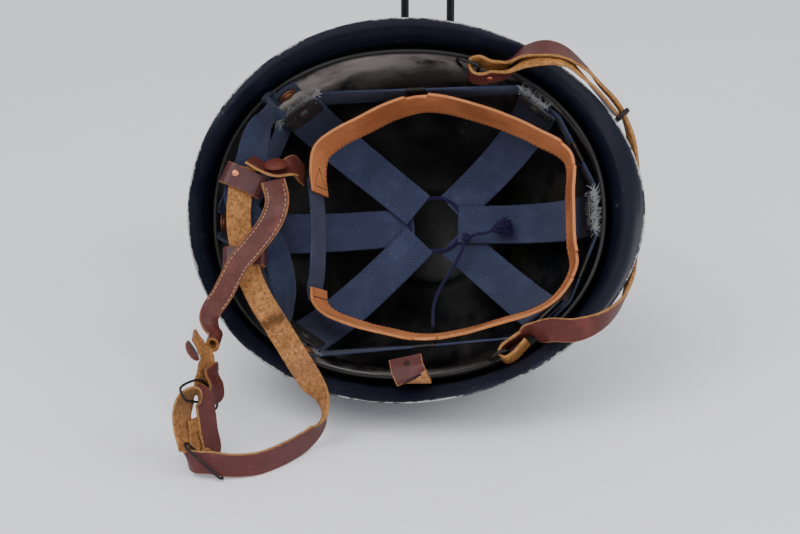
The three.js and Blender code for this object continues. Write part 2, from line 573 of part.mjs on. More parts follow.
function perimeterRows() {
  const distance = WALL_GAP + CORNER_AIR + WEB_THICK / 2;
  return cornerWalls.flatMap((wall) => [-1, 1].map((side) => {
    const point = inset(wall, distance).addScaledVector(wall.along, side * CORNER_CHORD);
    return { point, up: wall.up };
  }));
}

const shareRow = (start, end, share) => ({
  point: start.point.clone().lerp(end.point, share),
  up: start.up.clone().lerp(end.up, share).normalize(),
});

// Webbing of constant thickness round the corners, mitred where it turns.
function mitredLoop(rows, width, thick) {
  const rings = rows.map((row, i) => {
    const before = rows[(i + rows.length - 1) % rows.length].point;
    const after = rows[(i + 1) % rows.length].point;
    const tangent = row.point.clone().sub(before).normalize()
      .add(after.clone().sub(row.point).normalize()).normalize();
    return strapSection(row.point, tangent, row.up, width, thick);
  });
  return skin(rings, { loop: true });
}

const perimeter = perimeterRows();
const perimeterRings = perimeter.flatMap((row, i) => {
  const next = perimeter[(i + 1) % perimeter.length];
  return i % 2 === 1 ? [row, shareRow(row, next, 0.4), shareRow(row, next, 0.6)] : [row];
});
add(helmet, "perimeter_webbing", mitredLoop(perimeterRings, PERIMETER_WIDTH, WEB_THICK), navyWebbing);

// Crown bands leave the corners up along the wall and level out at the ring round the crown lace.
const ringCentre = at(RING_CENTRE);
const bandInset = WALL_GAP + CORNER_AIR + WEB_THICK * 1.5 + LAYER_GAP;

function bandRows(index) {
  const wall = cornerWalls[index];
  const foot = inset(wall, bandInset + 0.6).addScaledVector(wall.up, -PLATE.height * 0.3);
  const level = index % 2 === 0 ? -BAND_LEVEL : BAND_LEVEL;
  const out = vec(foot.x - ringCentre.x, 0, foot.z - ringCentre.z).normalize();
  const end = ringCentre.clone().addScaledVector(out, RING_RADIUS - 3).add(vec(0, level, 0));
  const rise = (end.y - foot.y) * BAND_RISE;
  const run = Math.hypot(foot.x - end.x, foot.z - end.z) * BAND_RUN;
  const knee = foot.clone().addScaledVector(wall.up, rise);
  const shoulder = end.clone().addScaledVector(out, run);
  const path = new THREE.CubicBezierCurve3(foot, knee, shoulder, end);
  const levelSide = vec(-out.z, 0, out.x);
  const wallSide = wall.along.clone().multiplyScalar(Math.sign(levelSide.dot(wall.along)));
  return path.getPoints(BAND_STEPS).map((point, i) => {
    const side = wallSide.clone().lerp(levelSide, i / BAND_STEPS);
    return { x: point.x, y: point.y, z: point.z, u: side.x, v: side.y, w: side.z };
  });
}

CORNERS.forEach((corner, index) => {
  const band = strap(bandRows(index), BAND_WIDTH, WEB_THICK, BAND_STEPS, { taper: BAND_TAPER });
  add(helmet, `crown_band_${corner.name}`, band, navyWebbing);
});

// D-shaped corner plates, each with the rivet that holds it.
function plateOutline() {
  const half = PLATE.width / 2;
  const shape = new THREE.Shape();
  shape.moveTo(-half, PLATE.height / 2);
  shape.lineTo(-half, -PLATE.height / 2 + 6);
  shape.quadraticCurveTo(-half, -PLATE.height / 2, 0, -PLATE.height / 2);
  shape.quadraticCurveTo(half, -PLATE.height / 2, half, -PLATE.height / 2 + 6);
  shape.lineTo(half, PLATE.height / 2);
  shape.closePath();
  return shape;
}

function cornerPlate(wall) {
  const sheet = new THREE.ExtrudeGeometry(plateOutline(), { depth: PLATE.thick, bevelEnabled: false, curveSegments: 4 });
  const head = rivetSolid(RIVET, 0.6).rotateX(Math.PI / 2);
  head.translate(0, 0, PLATE.thick - 0.05);
  const out = wall.inward;
  const centre = inset(wall, bandInset + WEB_THICK + 1.4).addScaledVector(wall.up, -7);
  return placed(fused(sheet, head), centre, vec(0, 0, 0).crossVectors(wall.up, out), wall.up, out);
}

CORNERS.forEach((corner, index) => {
  add(helmet, `corner_plate_${corner.name}`, cornerPlate(cornerWalls[index]), darkMetal);
});

// The lace lies between the two levels of band ends and is drawn up in a knot.
const laceLoop = Array.from({ length: 12 }, (_, i) => {
  const angle = (i * 2 * Math.PI) / 12;
  return { x: RING_CENTRE.x + RING_RADIUS * Math.cos(angle), y: RING_CENTRE.y, z: RING_CENTRE.z + RING_RADIUS * Math.sin(angle) };
});
add(helmet, "crown_lace", rod(laceLoop, LACE_RADIUS, 8, 22, true), purpleLace);

// The knot sits on the ring at the brow's left, with a tail that ends in a frayed tassel and a long tail.
const knotSpot = vec(RING_CENTRE.x + 20.5, RING_CENTRE.y - 6.9, RING_CENTRE.z - 9.5);
add(helmet, "lace_knot", new THREE.IcosahedronGeometry(KNOT_RADIUS, 1).translate(...knotSpot.toArray()), purpleLace);

const fromKnot = (row) => ({ x: knotSpot.x + row.x, y: knotSpot.y + row.y, z: knotSpot.z + row.z });
const TASSEL_TAIL = [
  { x: 3.7, y: -1.6, z: 0.5 },
  { x: 8, y: -4, z: 1.6 },
  { x: 13, y: -7, z: 1.4 },
  { x: 17, y: -9, z: 2.8 },
];
const LONG_TAIL = [
  { x: -0.8, y: -1.8, z: -3.4 },
  { x: -3, y: -2.5, z: -10 },
  { x: -9, y: -5, z: -22 },
  { x: -16, y: -8.5, z: -34 },
  { x: -20, y: -13, z: -45 },
  { x: -20.5, y: -20, z: -55 },
  { x: -19.5, y: -28, z: -62 },
];
add(helmet, "lace_tail_short", rod(TASSEL_TAIL.map(fromKnot), TAIL_RADIUS, 8, 6), purpleLace);
add(helmet, "lace_tail_long", rod(LONG_TAIL.map(fromKnot), TAIL_RADIUS, 8, 18), purpleLace);

// Frayed end: a waist that opens into a brush of locks, fused in one.
function tassel() {
  const rings = [
    { along: 0, radius: 1.5 },
    { along: 3, radius: 2.4 },
    { along: 8, radius: 4.2 },
    { along: 12, radius: 4.8 },
  ];
  const sides = 14;
  return skin(rings.map((ring) => Array.from({ length: sides }, (_, i) => {
    const angle = (i * 2 * Math.PI) / sides;
    const lock = i % 2 === 0 ? 1 : 0.72;
    const length = ring.along + (i % 2 === 0 ? ring.along * 0.16 : 0);
    return vec(length, ring.radius * lock * Math.cos(angle), ring.radius * lock * Math.sin(angle));
  })), { endTip: vec(10.5, 0, 0) });
}
const tasselRoot = at(fromKnot({ x: 17.9, y: -9.3, z: 3.2 }));
add(helmet, "lace_tassel", tassel().rotateY(rad(-14)).translate(...tasselRoot.toArray()), purpleLace);

// ---- head band ----------------------------------------------------------------------------------
// Rim-side edge of the head band seen down the helmet's axis, from one rear end round the brow to the other.
const BAND_EDGE = [
  { x: -69.6, z: 19 },
  { x: -71, z: 34 },
  { x: -67.5, z: 49 },
  { x: -40, z: 65.5 },
  { x: -1, clip: 0 },
  { x: 40, z: 69.5 },
  { x: 76, z: 53 },
  { x: 92, clip: 1 },
  { x: 97.5, z: 12 },
  { x: 98, z: -16 },
  { x: 92, clip: 2 },
  { x: 84, z: -56 },
  { x: 52, z: -68 },
  { x: 14, clip: 3 },
  { x: -24, z: -73 },
  { x: -60, z: -61 },
  { x: -69, z: -52 },
  { x: -70.4, z: -43 },
];
const edgeDepth = (x) => BAND_EDGE_DEPTH - BAND_EDGE_SLOPE * x;

// Where the head band is clipped: a side of the perimeter webbing and the share along it.
const CLIPS = [
  { name: "right", from: 1, share: 0.5 },
  { name: "brow_right", from: 0, share: 0.5 },
  { name: "brow_left", from: 5, share: 0.5 },
  { name: "left", from: 4, share: 0.5 },
];

function clipSite({ from, share }) {
  const start = perimeter[from * 2 + 1];
  const end = perimeter[(from * 2 + 2) % perimeter.length];
  const spot = start.point.clone().lerp(end.point, share);
  const run = end.point.clone().sub(start.point).normalize();
  const up = start.up.clone().lerp(end.up, share);
  up.addScaledVector(run, -up.dot(run)).normalize();
  const inward = vec(0, 0, 0).crossVectors(run, up).normalize();
  return { spot, run, up, inward };
}

const clipSites = CLIPS.map(clipSite);
const leatherOffset = CLIP.slot / 2 + CLIP.wall + 0.35 + SWEATBAND.thick / 2;

function headBandRows() {
  return BAND_EDGE.map((row) => {
    if (row.clip === undefined) {
      return vec(row.x, edgeDepth(row.x), row.z);
    }
    const site = clipSites[row.clip];
    const point = site.spot.clone().addScaledVector(site.inward, leatherOffset);
    return vec(point.x, edgeDepth(point.x), point.z);
  });
}

function headBand() {
  const path = new THREE.CatmullRomCurve3(headBandRows(), false, "centripetal");
  const lean = Math.tan(rad(SWEATBAND.lean));
  const steps = 46;
  const rings = [];
  for (let i = 0; i <= steps; i++) {
    const edge = path.getPoint(i / steps);
    const tangent = path.getTangent(i / steps);
    const inward = vec(tangent.z, 0, -tangent.x).normalize();
    if (inward.dot(vec(edge.x - 15, 0, edge.z)) > 0) {
      inward.negate();
    }
    const across = vec(inward.x * lean, 1, inward.z * lean).normalize();
    rings.push(strapSection(edge.clone().addScaledVector(across, SWEATBAND.width / 2), tangent, across, SWEATBAND.width, SWEATBAND.thick));
  }
  return skin(rings);
}

// The rim-side edge is notched where a clip grips it.
function notchedBand() {
  let solid = toManifold(headBand());
  for (const site of clipSites) {
    const cutter = new THREE.BoxGeometry(CLIP.notch, CLIP.notch, 12);
    const spot = site.spot.clone().addScaledVector(site.inward, leatherOffset);
    spot.y = edgeDepth(spot.x) + CLIP.depth - CLIP.notch / 2;
    solid = solid.subtract(toManifold(placed(cutter, spot, site.run, site.up, vec(0, 0, 0).crossVectors(site.run, site.up))));
  }
  return fromManifold(solid);
}
add(helmet, "head_band", notchedBand(), tanLeather);

// Rear webbing that joins the two ends of the head band, laid behind them.
const REAR_WEB = [
  { x: -70.6, y: 66.7, z: 28, u: 0.16, v: 0.99, w: 0 },
  { x: -69.6, y: 66.6, z: 19, u: 0.16, v: 0.99, w: 0 },
  { x: -68.4, y: 66.4, z: 8, u: 0.16, v: 0.99, w: 0 },
  { x: -68, y: 66.3, z: -12, u: 0.16, v: 0.99, w: 0 },
  { x: -68.8, y: 66.3, z: -34, u: 0.16, v: 0.99, w: 0 },
  { x: -70.2, y: 66.3, z: -43, u: 0.16, v: 0.99, w: 0 },
  { x: -69.1, y: 66.2, z: -51, u: 0.16, v: 0.99, w: 0 },
];
add(helmet, "head_band_rear_web", strap(REAR_WEB, SWEATBAND.width - 3, WEB_THICK, 10), navyWebbing);

// Spring clips: a channel over the head band and the perimeter webbing.
function clipShape() {
  const half = CLIP.slot / 2;
  const shape = new THREE.Shape();
  shape.moveTo(-half - CLIP.wall, CLIP.legs);
  shape.lineTo(-half - CLIP.wall, -CLIP.wall);
  shape.lineTo(half + CLIP.wall, -CLIP.wall);
  shape.lineTo(half + CLIP.wall, CLIP.legs);
  shape.lineTo(half, CLIP.legs);
  shape.lineTo(half, 0);
  shape.lineTo(-half, 0);
  shape.lineTo(-half, CLIP.legs);
  shape.closePath();
  return shape;
}

CLIPS.forEach((clip, index) => {
  const site = clipSites[index];
  const body = new THREE.ExtrudeGeometry(clipShape(), { depth: CLIP.length, bevelEnabled: false });
  body.translate(0, 0, -CLIP.length / 2);
  const centre = site.spot.clone().addScaledVector(site.up, -PERIMETER_WIDTH / 2 - 0.35);
  const run = vec(0, 0, 0).crossVectors(site.inward, site.up);
  add(helmet, `head_band_clip_${clip.name}`, placed(body, centre, site.inward, site.up, run), darkMetal);
});

// ---- nape webbing and its anchors ---------------------------------------------------------------
const anchorSites = {
  upper: wallAt(131, 25),
  lower: wallAt(237, 27),
  rear: wallAt(182, 22),
};

// A washer with a rivet head, fixed to the liner's wall over the webbing.
function anchorPlate(site, gap) {
  const sheet = new THREE.CylinderGeometry(ANCHOR.radius, ANCHOR.radius, ANCHOR.thick, 14).rotateX(Math.PI / 2);
  const head = rivetSolid(RIVET, 0.6, 10).rotateX(Math.PI / 2).translate(0, 0, ANCHOR.thick / 2 - 0.05);
  const centre = inset(site, WEB_LIFT + WEB_THICK / 2 + gap + ANCHOR.thick / 2);
  return placed(fused(sheet, head), centre, vec(0, 0, 0).crossVectors(site.up, site.inward), site.up, site.inward);
}

const webRow = (site, along, lift) => {
  const point = inset(site, WEB_LIFT + lift).addScaledVector(site.along, along);
  return { x: point.x, y: point.y, z: point.z, u: site.up.x, v: site.up.y, w: site.up.z };
};
const napeRows = [
  webRow(anchorSites.upper, -9, 0.7),
  webRow(anchorSites.upper, 0, 0),
  webRow(anchorSites.upper, 9, 1.5),
  ...NAPE_WEB,
  webRow(anchorSites.lower, -8, 0.9),
  webRow(anchorSites.lower, -2, 0),
  webRow(anchorSites.lower, 8, 0.7),
];
add(helmet, "nape_webbing", strap(napeRows, NAPE_WIDTH, WEB_THICK, 34), navyWebbing);
for (const [name, site] of Object.entries(anchorSites)) {
  add(helmet, `nape_anchor_${name}`, anchorPlate(site, ANCHOR.gap[name]), darkMetal);
}

// Two folded tabs tie the nape webbing back to the rear anchor.
const tabRows = (share, ending) => [webRow(anchorSites.rear, share, 0), webRow(anchorSites.rear, share * 1.6, 1), ...ending];
add(helmet, "nape_tab_upper", strap(tabRows(-TAB_SPREAD, TAB_UPPER), TAB_WIDTH, WEB_THICK, 9), navyWebbing);
add(helmet, "nape_tab_lower", strap(tabRows(TAB_SPREAD, TAB_LOWER), TAB_WIDTH, WEB_THICK, 9), navyWebbing);

// ---- chin strap ---------------------------------------------------------------------------------
function bandFrame(place) {
  const along = vec(...place.along).normalize();
  const across = vec(...place.across).addScaledVector(along, -along.dot(vec(...place.across))).normalize();
  return { along, across, out: vec(0, 0, 0).crossVectors(across, along) };
}

// A closed band round what it holds, flat on its two long sides and round at its ends.
function ringBand(place, thick) {
  const { along, across, out } = bandFrame(place);
  const radius = (place.deep - thick) / 2;
  const half = (place.wide - thick) / 2 - radius;
  const rings = [];
  for (const end of [1, -1]) {
    for (let i = 0; i <= place.turns; i++) {
      const angle = -Math.PI / 2 + (i * Math.PI) / place.turns;
      const normal = vec(0, 0, 0)
        .addScaledVector(across, end * Math.cos(angle))
        .addScaledVector(out, end * Math.sin(angle));
      const point = vec(...place.centre).addScaledVector(across, end * half).addScaledVector(normal, radius);
      rings.push(strapSection(point, vec(0, 0, 0).crossVectors(normal, along), along, place.band, thick));
    }
  }
  return skin(rings, { loop: true });
}

// A round rod bent along corner points with one bend radius.
function bentRod(corners, radius, bend, sides) {
  const points = [corners[0]];
  for (let i = 1; i < corners.length - 1; i++) {
    const back = corners[i - 1].clone().sub(corners[i]).normalize();
    const ahead = corners[i + 1].clone().sub(corners[i]).normalize();
    const start = corners[i].clone().addScaledVector(back, bend);
    const end = corners[i].clone().addScaledVector(ahead, bend);
    points.push(...new THREE.QuadraticBezierCurve3(start, corners[i], end).getPoints(4));
  }
  points.push(corners[corners.length - 1]);
  let first = vec(0, 0, 0).crossVectors(points[1].clone().sub(points[0]), vec(0.3, 0.2, 1)).normalize();
  const rings = points.map((point, i) => {
    const before = points[Math.max(0, i - 1)];
    const after = points[Math.min(points.length - 1, i + 1)];
    const tangent = after.clone().sub(before).normalize();
    first = first.clone().addScaledVector(tangent, -first.dot(tangent)).normalize();
    return roundSection(point, first, vec(0, 0, 0).crossVectors(tangent, first), radius, sides);
  });
  return skin(rings);
}

// A wire loop through corner points, closed.
const wireLoop = (points, radius, steps) => rod(points, radius, 6, steps, true);

add(floorPieces, "chin_strap", strap(CHIN_STRAP, STRAP_WIDTH, LEATHER, 100), brownLeather);
add(floorPieces, "keeper_upper", ringBand(KEEPER_UPPER, LEATHER), brownLeather);
add(floorPieces, "keeper_lower", ringBand(KEEPER_LOWER, LEATHER), brownLeather);
add(floorPieces, "chin_slide", ringBand(CHIN_SLIDE, CHIN_SLIDE.thick), darkMetal);

const branch = strap(BRANCH_STRAP, BRANCH_WIDTH, LEATHER, 26, { taper: 0.22 });
const branchRoll = strap(BRANCH_ROLL, BRANCH_WIDTH * 0.78, LEATHER, 12, { loop: true });
add(floorPieces, "branch_strap", fused(branch, branchRoll), brownLeather);
add(floorPieces, "link_strap", strap(LINK_STRAP, LINK_WIDTH, LEATHER, 34), brownLeather);
add(floorPieces, "wire_ring", wireLoop(WIRE_RING, RING_WIRE, 18), darkMetal);
add(helmet, "strap_joint", strap(STRAP_JOINT, JOINT_WIDTH, LEATHER, 24), brownLeather);

// A rivet head lying on a surface, facing along a direction.
function rivetOn(place, size, sides) {
  const up = vec(...place.facing).normalize();
  const side = vec(0, 0, 0).crossVectors(up, vec(0.4, 0.3, 0.9)).normalize();
  const head = rivetSolid({ ...size, shank: size.head * 0.6 }, 0.01, sides);
  return placed(head, vec(...place.spot), side, up, vec(0, 0, 0).crossVectors(side, up));
}

function bandRivet(place, { across, along }, lift) {
  const frame = bandFrame(place);
  const spot = vec(...place.centre)
    .addScaledVector(frame.across, across)
    .addScaledVector(frame.along, along)
    .addScaledVector(frame.out, place.deep / 2 + lift);
  return { spot: spot.toArray(), facing: frame.out.toArray() };
}
add(helmet, "joint_rivet", rivetOn(JOINT_RIVET, { head: 7.2, rise: 4 }, 14), brownLeather);
add(floorPieces, "link_rivet", rivetOn(LINK_RIVET, { head: 6.8, rise: 4 }, 14), brownLeather);
const keeperRivet = bandRivet(KEEPER_UPPER, KEEPER_RIVET, 0.3);
add(floorPieces, "keeper_rivet", rivetOn(keeperRivet, { head: 2.2, rise: 1 }, 8), copper);

// ---- brow strap and side tab --------------------------------------------------------------------
add(helmet, "brow_strap", strap(BROW_STRAP, BROW_WIDTH, LEATHER, 104), brownLeather);
add(helmet, "brow_slide", ringBand(BROW_SLIDE, BROW_SLIDE.thick), darkMetal);
add(helmet, "brow_loop_right", wireLoop(BROW_LOOP_RIGHT, LOOP_WIRE, 18), darkMetal);
add(helmet, "brow_loop_left", wireLoop(BROW_LOOP_LEFT, LOOP_WIRE, 18), darkMetal);
add(helmet, "brow_rivet_right", rivetOn(BROW_RIVET_RIGHT, { head: 2.2, rise: 1 }, 8), copper);
add(helmet, "side_tab", strap(SIDE_TAB, SIDE_WIDTH, LEATHER, 20), brownLeather);

// ---- stand --------------------------------------------------------------------------------------
const standCorners = [
  vec(STAND.left, STAND.front, WIRE),
  vec(STAND.left, STAND.back, WIRE),
  vec(STAND.uprightLeft, STAND.back, WIRE),
  vec(STAND.uprightLeft, STAND.back, STAND.top),
  vec(STAND.uprightRight, STAND.back, STAND.top),
  vec(STAND.uprightRight, STAND.back, WIRE),
  vec(STAND.right, STAND.back, WIRE),
  vec(STAND.right, STAND.front, WIRE),
];
add(floorPieces, "wire_stand", bentRod(standCorners, WIRE, STAND.bend, 8), blackWire);

// ---- placing ------------------------------------------------------------------------------------
helmet.rotation.set(rad(-OPENING_TILT), 0, rad(-OPENING_YAW));
helmet.position.copy(at(RIM_CENTRE));
floorPieces.position.set(RIM_CENTRE.x, RIM_CENTRE.y, 0);

const policeHelmet = new THREE.Group();
policeHelmet.add(helmet, floorPieces);

export default policeHelmet;
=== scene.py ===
import math
import random

import bmesh
import bpy
from mathutils import Matrix, Vector, noise


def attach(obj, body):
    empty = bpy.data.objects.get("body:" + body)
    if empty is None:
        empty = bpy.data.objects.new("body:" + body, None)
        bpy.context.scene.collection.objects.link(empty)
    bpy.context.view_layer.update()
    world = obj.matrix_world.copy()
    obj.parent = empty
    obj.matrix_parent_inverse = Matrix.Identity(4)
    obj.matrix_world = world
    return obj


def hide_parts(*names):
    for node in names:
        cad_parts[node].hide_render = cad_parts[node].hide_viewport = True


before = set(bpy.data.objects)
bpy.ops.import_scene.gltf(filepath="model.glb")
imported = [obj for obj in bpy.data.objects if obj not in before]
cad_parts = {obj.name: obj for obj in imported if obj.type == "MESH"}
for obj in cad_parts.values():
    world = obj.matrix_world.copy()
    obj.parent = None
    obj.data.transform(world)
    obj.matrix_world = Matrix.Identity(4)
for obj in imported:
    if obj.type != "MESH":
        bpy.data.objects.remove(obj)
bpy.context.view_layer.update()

# ---- places ---------------------------------------------------------------------------------------
RIM_CENTRE = Vector((-0.3, -28.0, 131.0))
TO_METRES = Matrix.Scale(0.001, 4)
HELMET = (
    TO_METRES
    @ Matrix.Translation(RIM_CENTRE)
    @ Matrix.Rotation(math.radians(-29), 4, "X")
    @ Matrix.Rotation(math.radians(-6), 4, "Z")
)
FLOOR = TO_METRES @ Matrix.Translation((RIM_CENTRE.x, RIM_CENTRE.y, 0))

# ---- camera ---------------------------------------------------------------------------------------
CAMERA_FALL = 23.0                # degrees that the camera looks down
lens = bpy.data.cameras.new("camera")
lens.lens = 90
lens.sensor_width = 36
lens.clip_start = 0.05
lens.clip_end = 30
camera = bpy.data.objects.new("camera", lens)
camera.location = FLOOR @ Vector((-7.8, -1139.3, 575.7))
camera.rotation_euler = (math.radians(90 - CAMERA_FALL), 0, 0)
bpy.context.scene.collection.objects.link(camera)
bpy.context.scene.camera = camera


# ---- curves and sections --------------------------------------------------------------------------
def smooth_point(points, share, loop=False):
    """A point at a share of the way along a smooth curve through points."""
    count = len(points)
    spans = count if loop else count - 1
    where = min(max(share, 0.0), 1.0) * spans
    span = min(int(where), spans - 1)
    t = where - span
    if loop:
        before, start, end, after = (points[(span + k) % count] for k in (-1, 0, 1, 2))
    else:
        start, end = points[span], points[span + 1]
        before = points[span - 1] if span > 0 else start * 2 - end
        after = points[span + 2] if span + 2 < count else end * 2 - start
    gaps = [max((b - a).length ** 0.5, 1e-4) for a, b in ((before, start), (start, end), (end, after))]
    first = (start - before) / gaps[0] - (end - before) / (gaps[0] + gaps[1]) + (end - start) / gaps[1]
    last = (end - start) / gaps[1] - (after - start) / (gaps[1] + gaps[2]) + (after - end) / gaps[2]
    first, last = first * gaps[1], last * gaps[1]
    bend, lift = start * -3 + end * 3 - first * 2 - last, start * 2 - end * 2 + first + last
    return start + first * t + bend * t * t + lift * t * t * t


def smooth_line(points, steps, loop=False):
    """Points along a smooth curve, the last one left out on a loop."""
    count = steps if loop else steps + 1
    return [smooth_point(points, i / steps, loop) for i in range(count)]


def tangent_at(points, i, loop):
    """The way ahead at one point of a line."""
    count = len(points)
    before = points[(i - 1) % count] if loop or i else points[i]
    after = points[(i + 1) % count] if loop or i < count - 1 else points[i]
    return (after - before).normalized()


class Run:
    """The course of a strap: centres, width directions and outward directions, with the length so far."""

    def __init__(self, centres, sides, loop=False):
        self.loop = loop
        self.centres = centres
        self.across, self.out, self.length = [], [], [0.0]
        for i, centre in enumerate(centres):
            tangent = tangent_at(centres, i, loop)
            across = (sides[i] - tangent * sides[i].dot(tangent)).normalized()
            self.across.append(across)
            self.out.append(tangent.cross(across).normalized())
            if i:
                self.length.append(self.length[-1] + (centre - centres[i - 1]).length)
        self.total = self.length[-1] + ((centres[0] - centres[-1]).length if loop else 0)

    def at(self, run, across=0.0, out=0.0):
        """The place at a length along, a distance across and a height over the middle, and the way out."""
        run = min(max(run, 0.0), self.length[-1] - 1e-6)
        i = max(k for k, length in enumerate(self.length[:-1]) if length <= run)
        share = (run - self.length[i]) / max(self.length[i + 1] - self.length[i], 1e-6)
        centre = self.centres[i].lerp(self.centres[i + 1], share)
        side = self.across[i].lerp(self.across[i + 1], share).normalized()
        up = self.out[i].lerp(self.out[i + 1], share).normalized()
        return centre + side * across + up * out, up


def run_of(rows, steps, loop=False):
    """A strap's course from rows of centre and width direction; a row may keep the last direction."""
    centres = [Vector(row[:3]) for row in rows]
    sides = []
    for row in rows:
        sides.append(Vector(row[3:]) if len(row) > 3 else sides[-1])
    return Run(smooth_line(centres, steps, loop), smooth_line(sides, steps, loop), loop)


# ---- mesh tools -----------------------------------------------------------------------------------
def new_mesh():
    """An empty mesh with layers for the length along, the distance across and the face's side."""
    bm = bmesh.new()
    for layer in ("along", "across", "side"):
        bm.verts.layers.float.new(layer)
    return bm


def mark(bm, vert, along, across, side):
    """Writes a point's place on the laid surface into the mesh's layers."""
    for name, value in (("along", along), ("across", across), ("side", side)):
        vert[bm.verts.layers.float[name]] = value


def loft(bm, sections, marks, loop=False, cap=True):
    """Draws a skin through rings of equally many points. marks give along, across and side for each point."""
    count = len(sections[0])
    first = bmesh.ops.create_circle(bm, segments=count, radius=1.0)["verts"]
    ring = first
    rings = [first]
    for i, section in enumerate(sections):
        if i:
            edges = [bm.edges.get((ring[k], ring[(k + 1) % count])) for k in range(count)]
            grown = bmesh.ops.extrude_edge_only(bm, edges=edges)["geom"]
            fresh = {vert for vert in grown if isinstance(vert, bmesh.types.BMVert)}
            ring = [next(e.other_vert(v) for e in v.link_edges if e.other_vert(v) in fresh) for v in ring]
            rings.append(ring)
        for vert, place, note in zip(ring, section, marks[i]):
            vert.co = place
            mark(bm, vert, *note)
    ends = [[bm.edges.get((r[k], r[(k + 1) % count])) for k in range(count)] for r in (rings[0], rings[-1])]
    if loop:
        bmesh.ops.bridge_loops(bm, edges=ends[0] + ends[1])
    elif cap:
        for edges in ends:
            bmesh.ops.contextual_create(bm, geom=edges)
    return rings


def finish_piece(name, bm, place, material, nodes=(), loop_length=None, hard=40):
    """Turns a mesh in its own millimetre frame into a placed object that rides on the root body."""
    bmesh.ops.recalc_face_normals(bm, faces=bm.faces)
    along, across = (bm.verts.layers.float[layer] for layer in ("along", "across"))
    uv = bm.loops.layers.uv.new("lay")
    for face in bm.faces:
        runs = [corner.vert[along] for corner in face.loops]
        wraps = loop_length and max(runs) - min(runs) > loop_length / 2
        for corner, run in zip(face.loops, runs):
            run += loop_length if wraps and run < loop_length / 2 else 0
            corner[uv].uv = (run * 0.001, corner.vert[across] * 0.001)
    bmesh.ops.transform(bm, matrix=place, verts=bm.verts)
    for face in bm.faces:
        face.smooth = True
    for edge in bm.edges:
        if len(edge.link_faces) == 2 and edge.calc_face_angle(0) > math.radians(hard):
            edge.smooth = False
    mesh = bpy.data.meshes.new(name)
    bm.to_mesh(mesh)
    bm.free()
    piece = bpy.data.objects.new(name, mesh)
    mesh.materials.append(material)
    bpy.context.scene.collection.objects.link(piece)
    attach(piece, "root")
    if nodes:
        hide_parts(*nodes)
    return piece


EDGE_ROUND = 0.5                  # how far a strap's cut edges are rounded
EDGE_SHARE = 0.7                  # fraying starts this share of the way from a strap's middle to its edge


def strap_profile(width, thick, dome=0.0):
    """Points of a strap's section, (across, out, side), with rounded cut edges."""
    half, top = width / 2, thick / 2
    edge = min(EDGE_ROUND, top * 0.8)
    flat = [half - edge, (half - edge) * 0.86, half * 0.5, 0, -half * 0.5, -(half - edge) * 0.86, edge - half]

    def lift(across):
        return dome * (1 - (across / half) ** 2)

    upper = [(a, top + lift(a), 1.0) for a in flat]
    lower = [(a, -top + lift(a), 0.0) for a in reversed(flat)]
    left = [(-half, top - edge, 0.5), (-half, edge - top, 0.5)]
    right = [(half, edge - top, 0.5), (half, top - edge, 0.5)]
    return upper + left + lower + right


def strap_skin(bm, run, width, thick, dome=0.0, ragged=0.0, wave=0.0, taper=0.0, notch=None, seed=0.0,
               turned=None):
    """A strap laid along a run. ragged frays its edges, wave lifts it, and its back is out past turned."""
    sections, marks = [], []
    for i, centre in enumerate(run.centres):
        share = i / max(len(run.centres) - 1, 1)
        wide = width * (1 - taper * share)
        length = run.length[i]
        rise = wave * noise.noise(Vector((length * 0.06, seed, 3.1)))
        points, notes = [], []
        for across, out, side in strap_profile(wide, thick, dome):
            reach = across / (wide / 2)
            if abs(reach) > EDGE_SHARE:
                way = math.copysign(1, across)
                rough = noise.noise(Vector((length * 0.35, 5.0 * way, seed)))
                rough += 0.6 * noise.noise(Vector((length * 1.3, 9.0 * way, seed)))
                across += math.copysign(ragged * (rough - 0.25), across) * (abs(reach) - 0.6) * 2.5
            if notch:
                across = notch(length, across)
            points.append(centre + run.across[i] * across + run.out[i] * (out + rise))
            notes.append((length, across, 1 - side if turned is not None and length >= turned else side))
        sections.append(points)
        marks.append(notes)
    loft(bm, sections, marks, loop=run.loop)


def strap_piece(name, run, width, thick, place, material, slot, nodes=(), **shape):
    """A strap as a piece; shape holds what strap_skin takes."""
    bm = new_mesh()
    strap_skin(bm, run, width, thick, **shape)
    return finish_piece(name, bm, place, material, nodes, run.total if run.loop else None)


def tube_skin(bm, points, radius, sides=12, loop=False, taper=None):
    """A round rod along points; taper gives the radius at a share of its length."""
    normal = tangent_at(points, 0, loop).orthogonal()
    angles = [k * math.tau / sides for k in range(sides)]
    sections, marks, length = [], [], 0.0
    for i, point in enumerate(points):
        tangent = tangent_at(points, i, loop)
        normal = (normal - tangent * normal.dot(tangent)).normalized()
        other = tangent.cross(normal)
        if i:
            length += (point - points[i - 1]).length
        here = radius * (taper(i / (len(points) - 1)) if taper else 1)
        sections.append([point + (normal * math.cos(a) + other * math.sin(a)) * here for a in angles])
        marks.append([(length, here * a, 1.0) for a in angles])
    loft(bm, sections, marks, loop=loop)
    return length


def tube_piece(name, points, radius, place, material, nodes=(), sides=12, loop=False, taper=None):
    """A round rod as a piece."""
    bm = new_mesh()
    length = tube_skin(bm, points, radius, sides, loop, taper)
    return finish_piece(name, bm, place, material, nodes, length if loop else None)


WELD = 0.004                      # points of a turned body this near are one


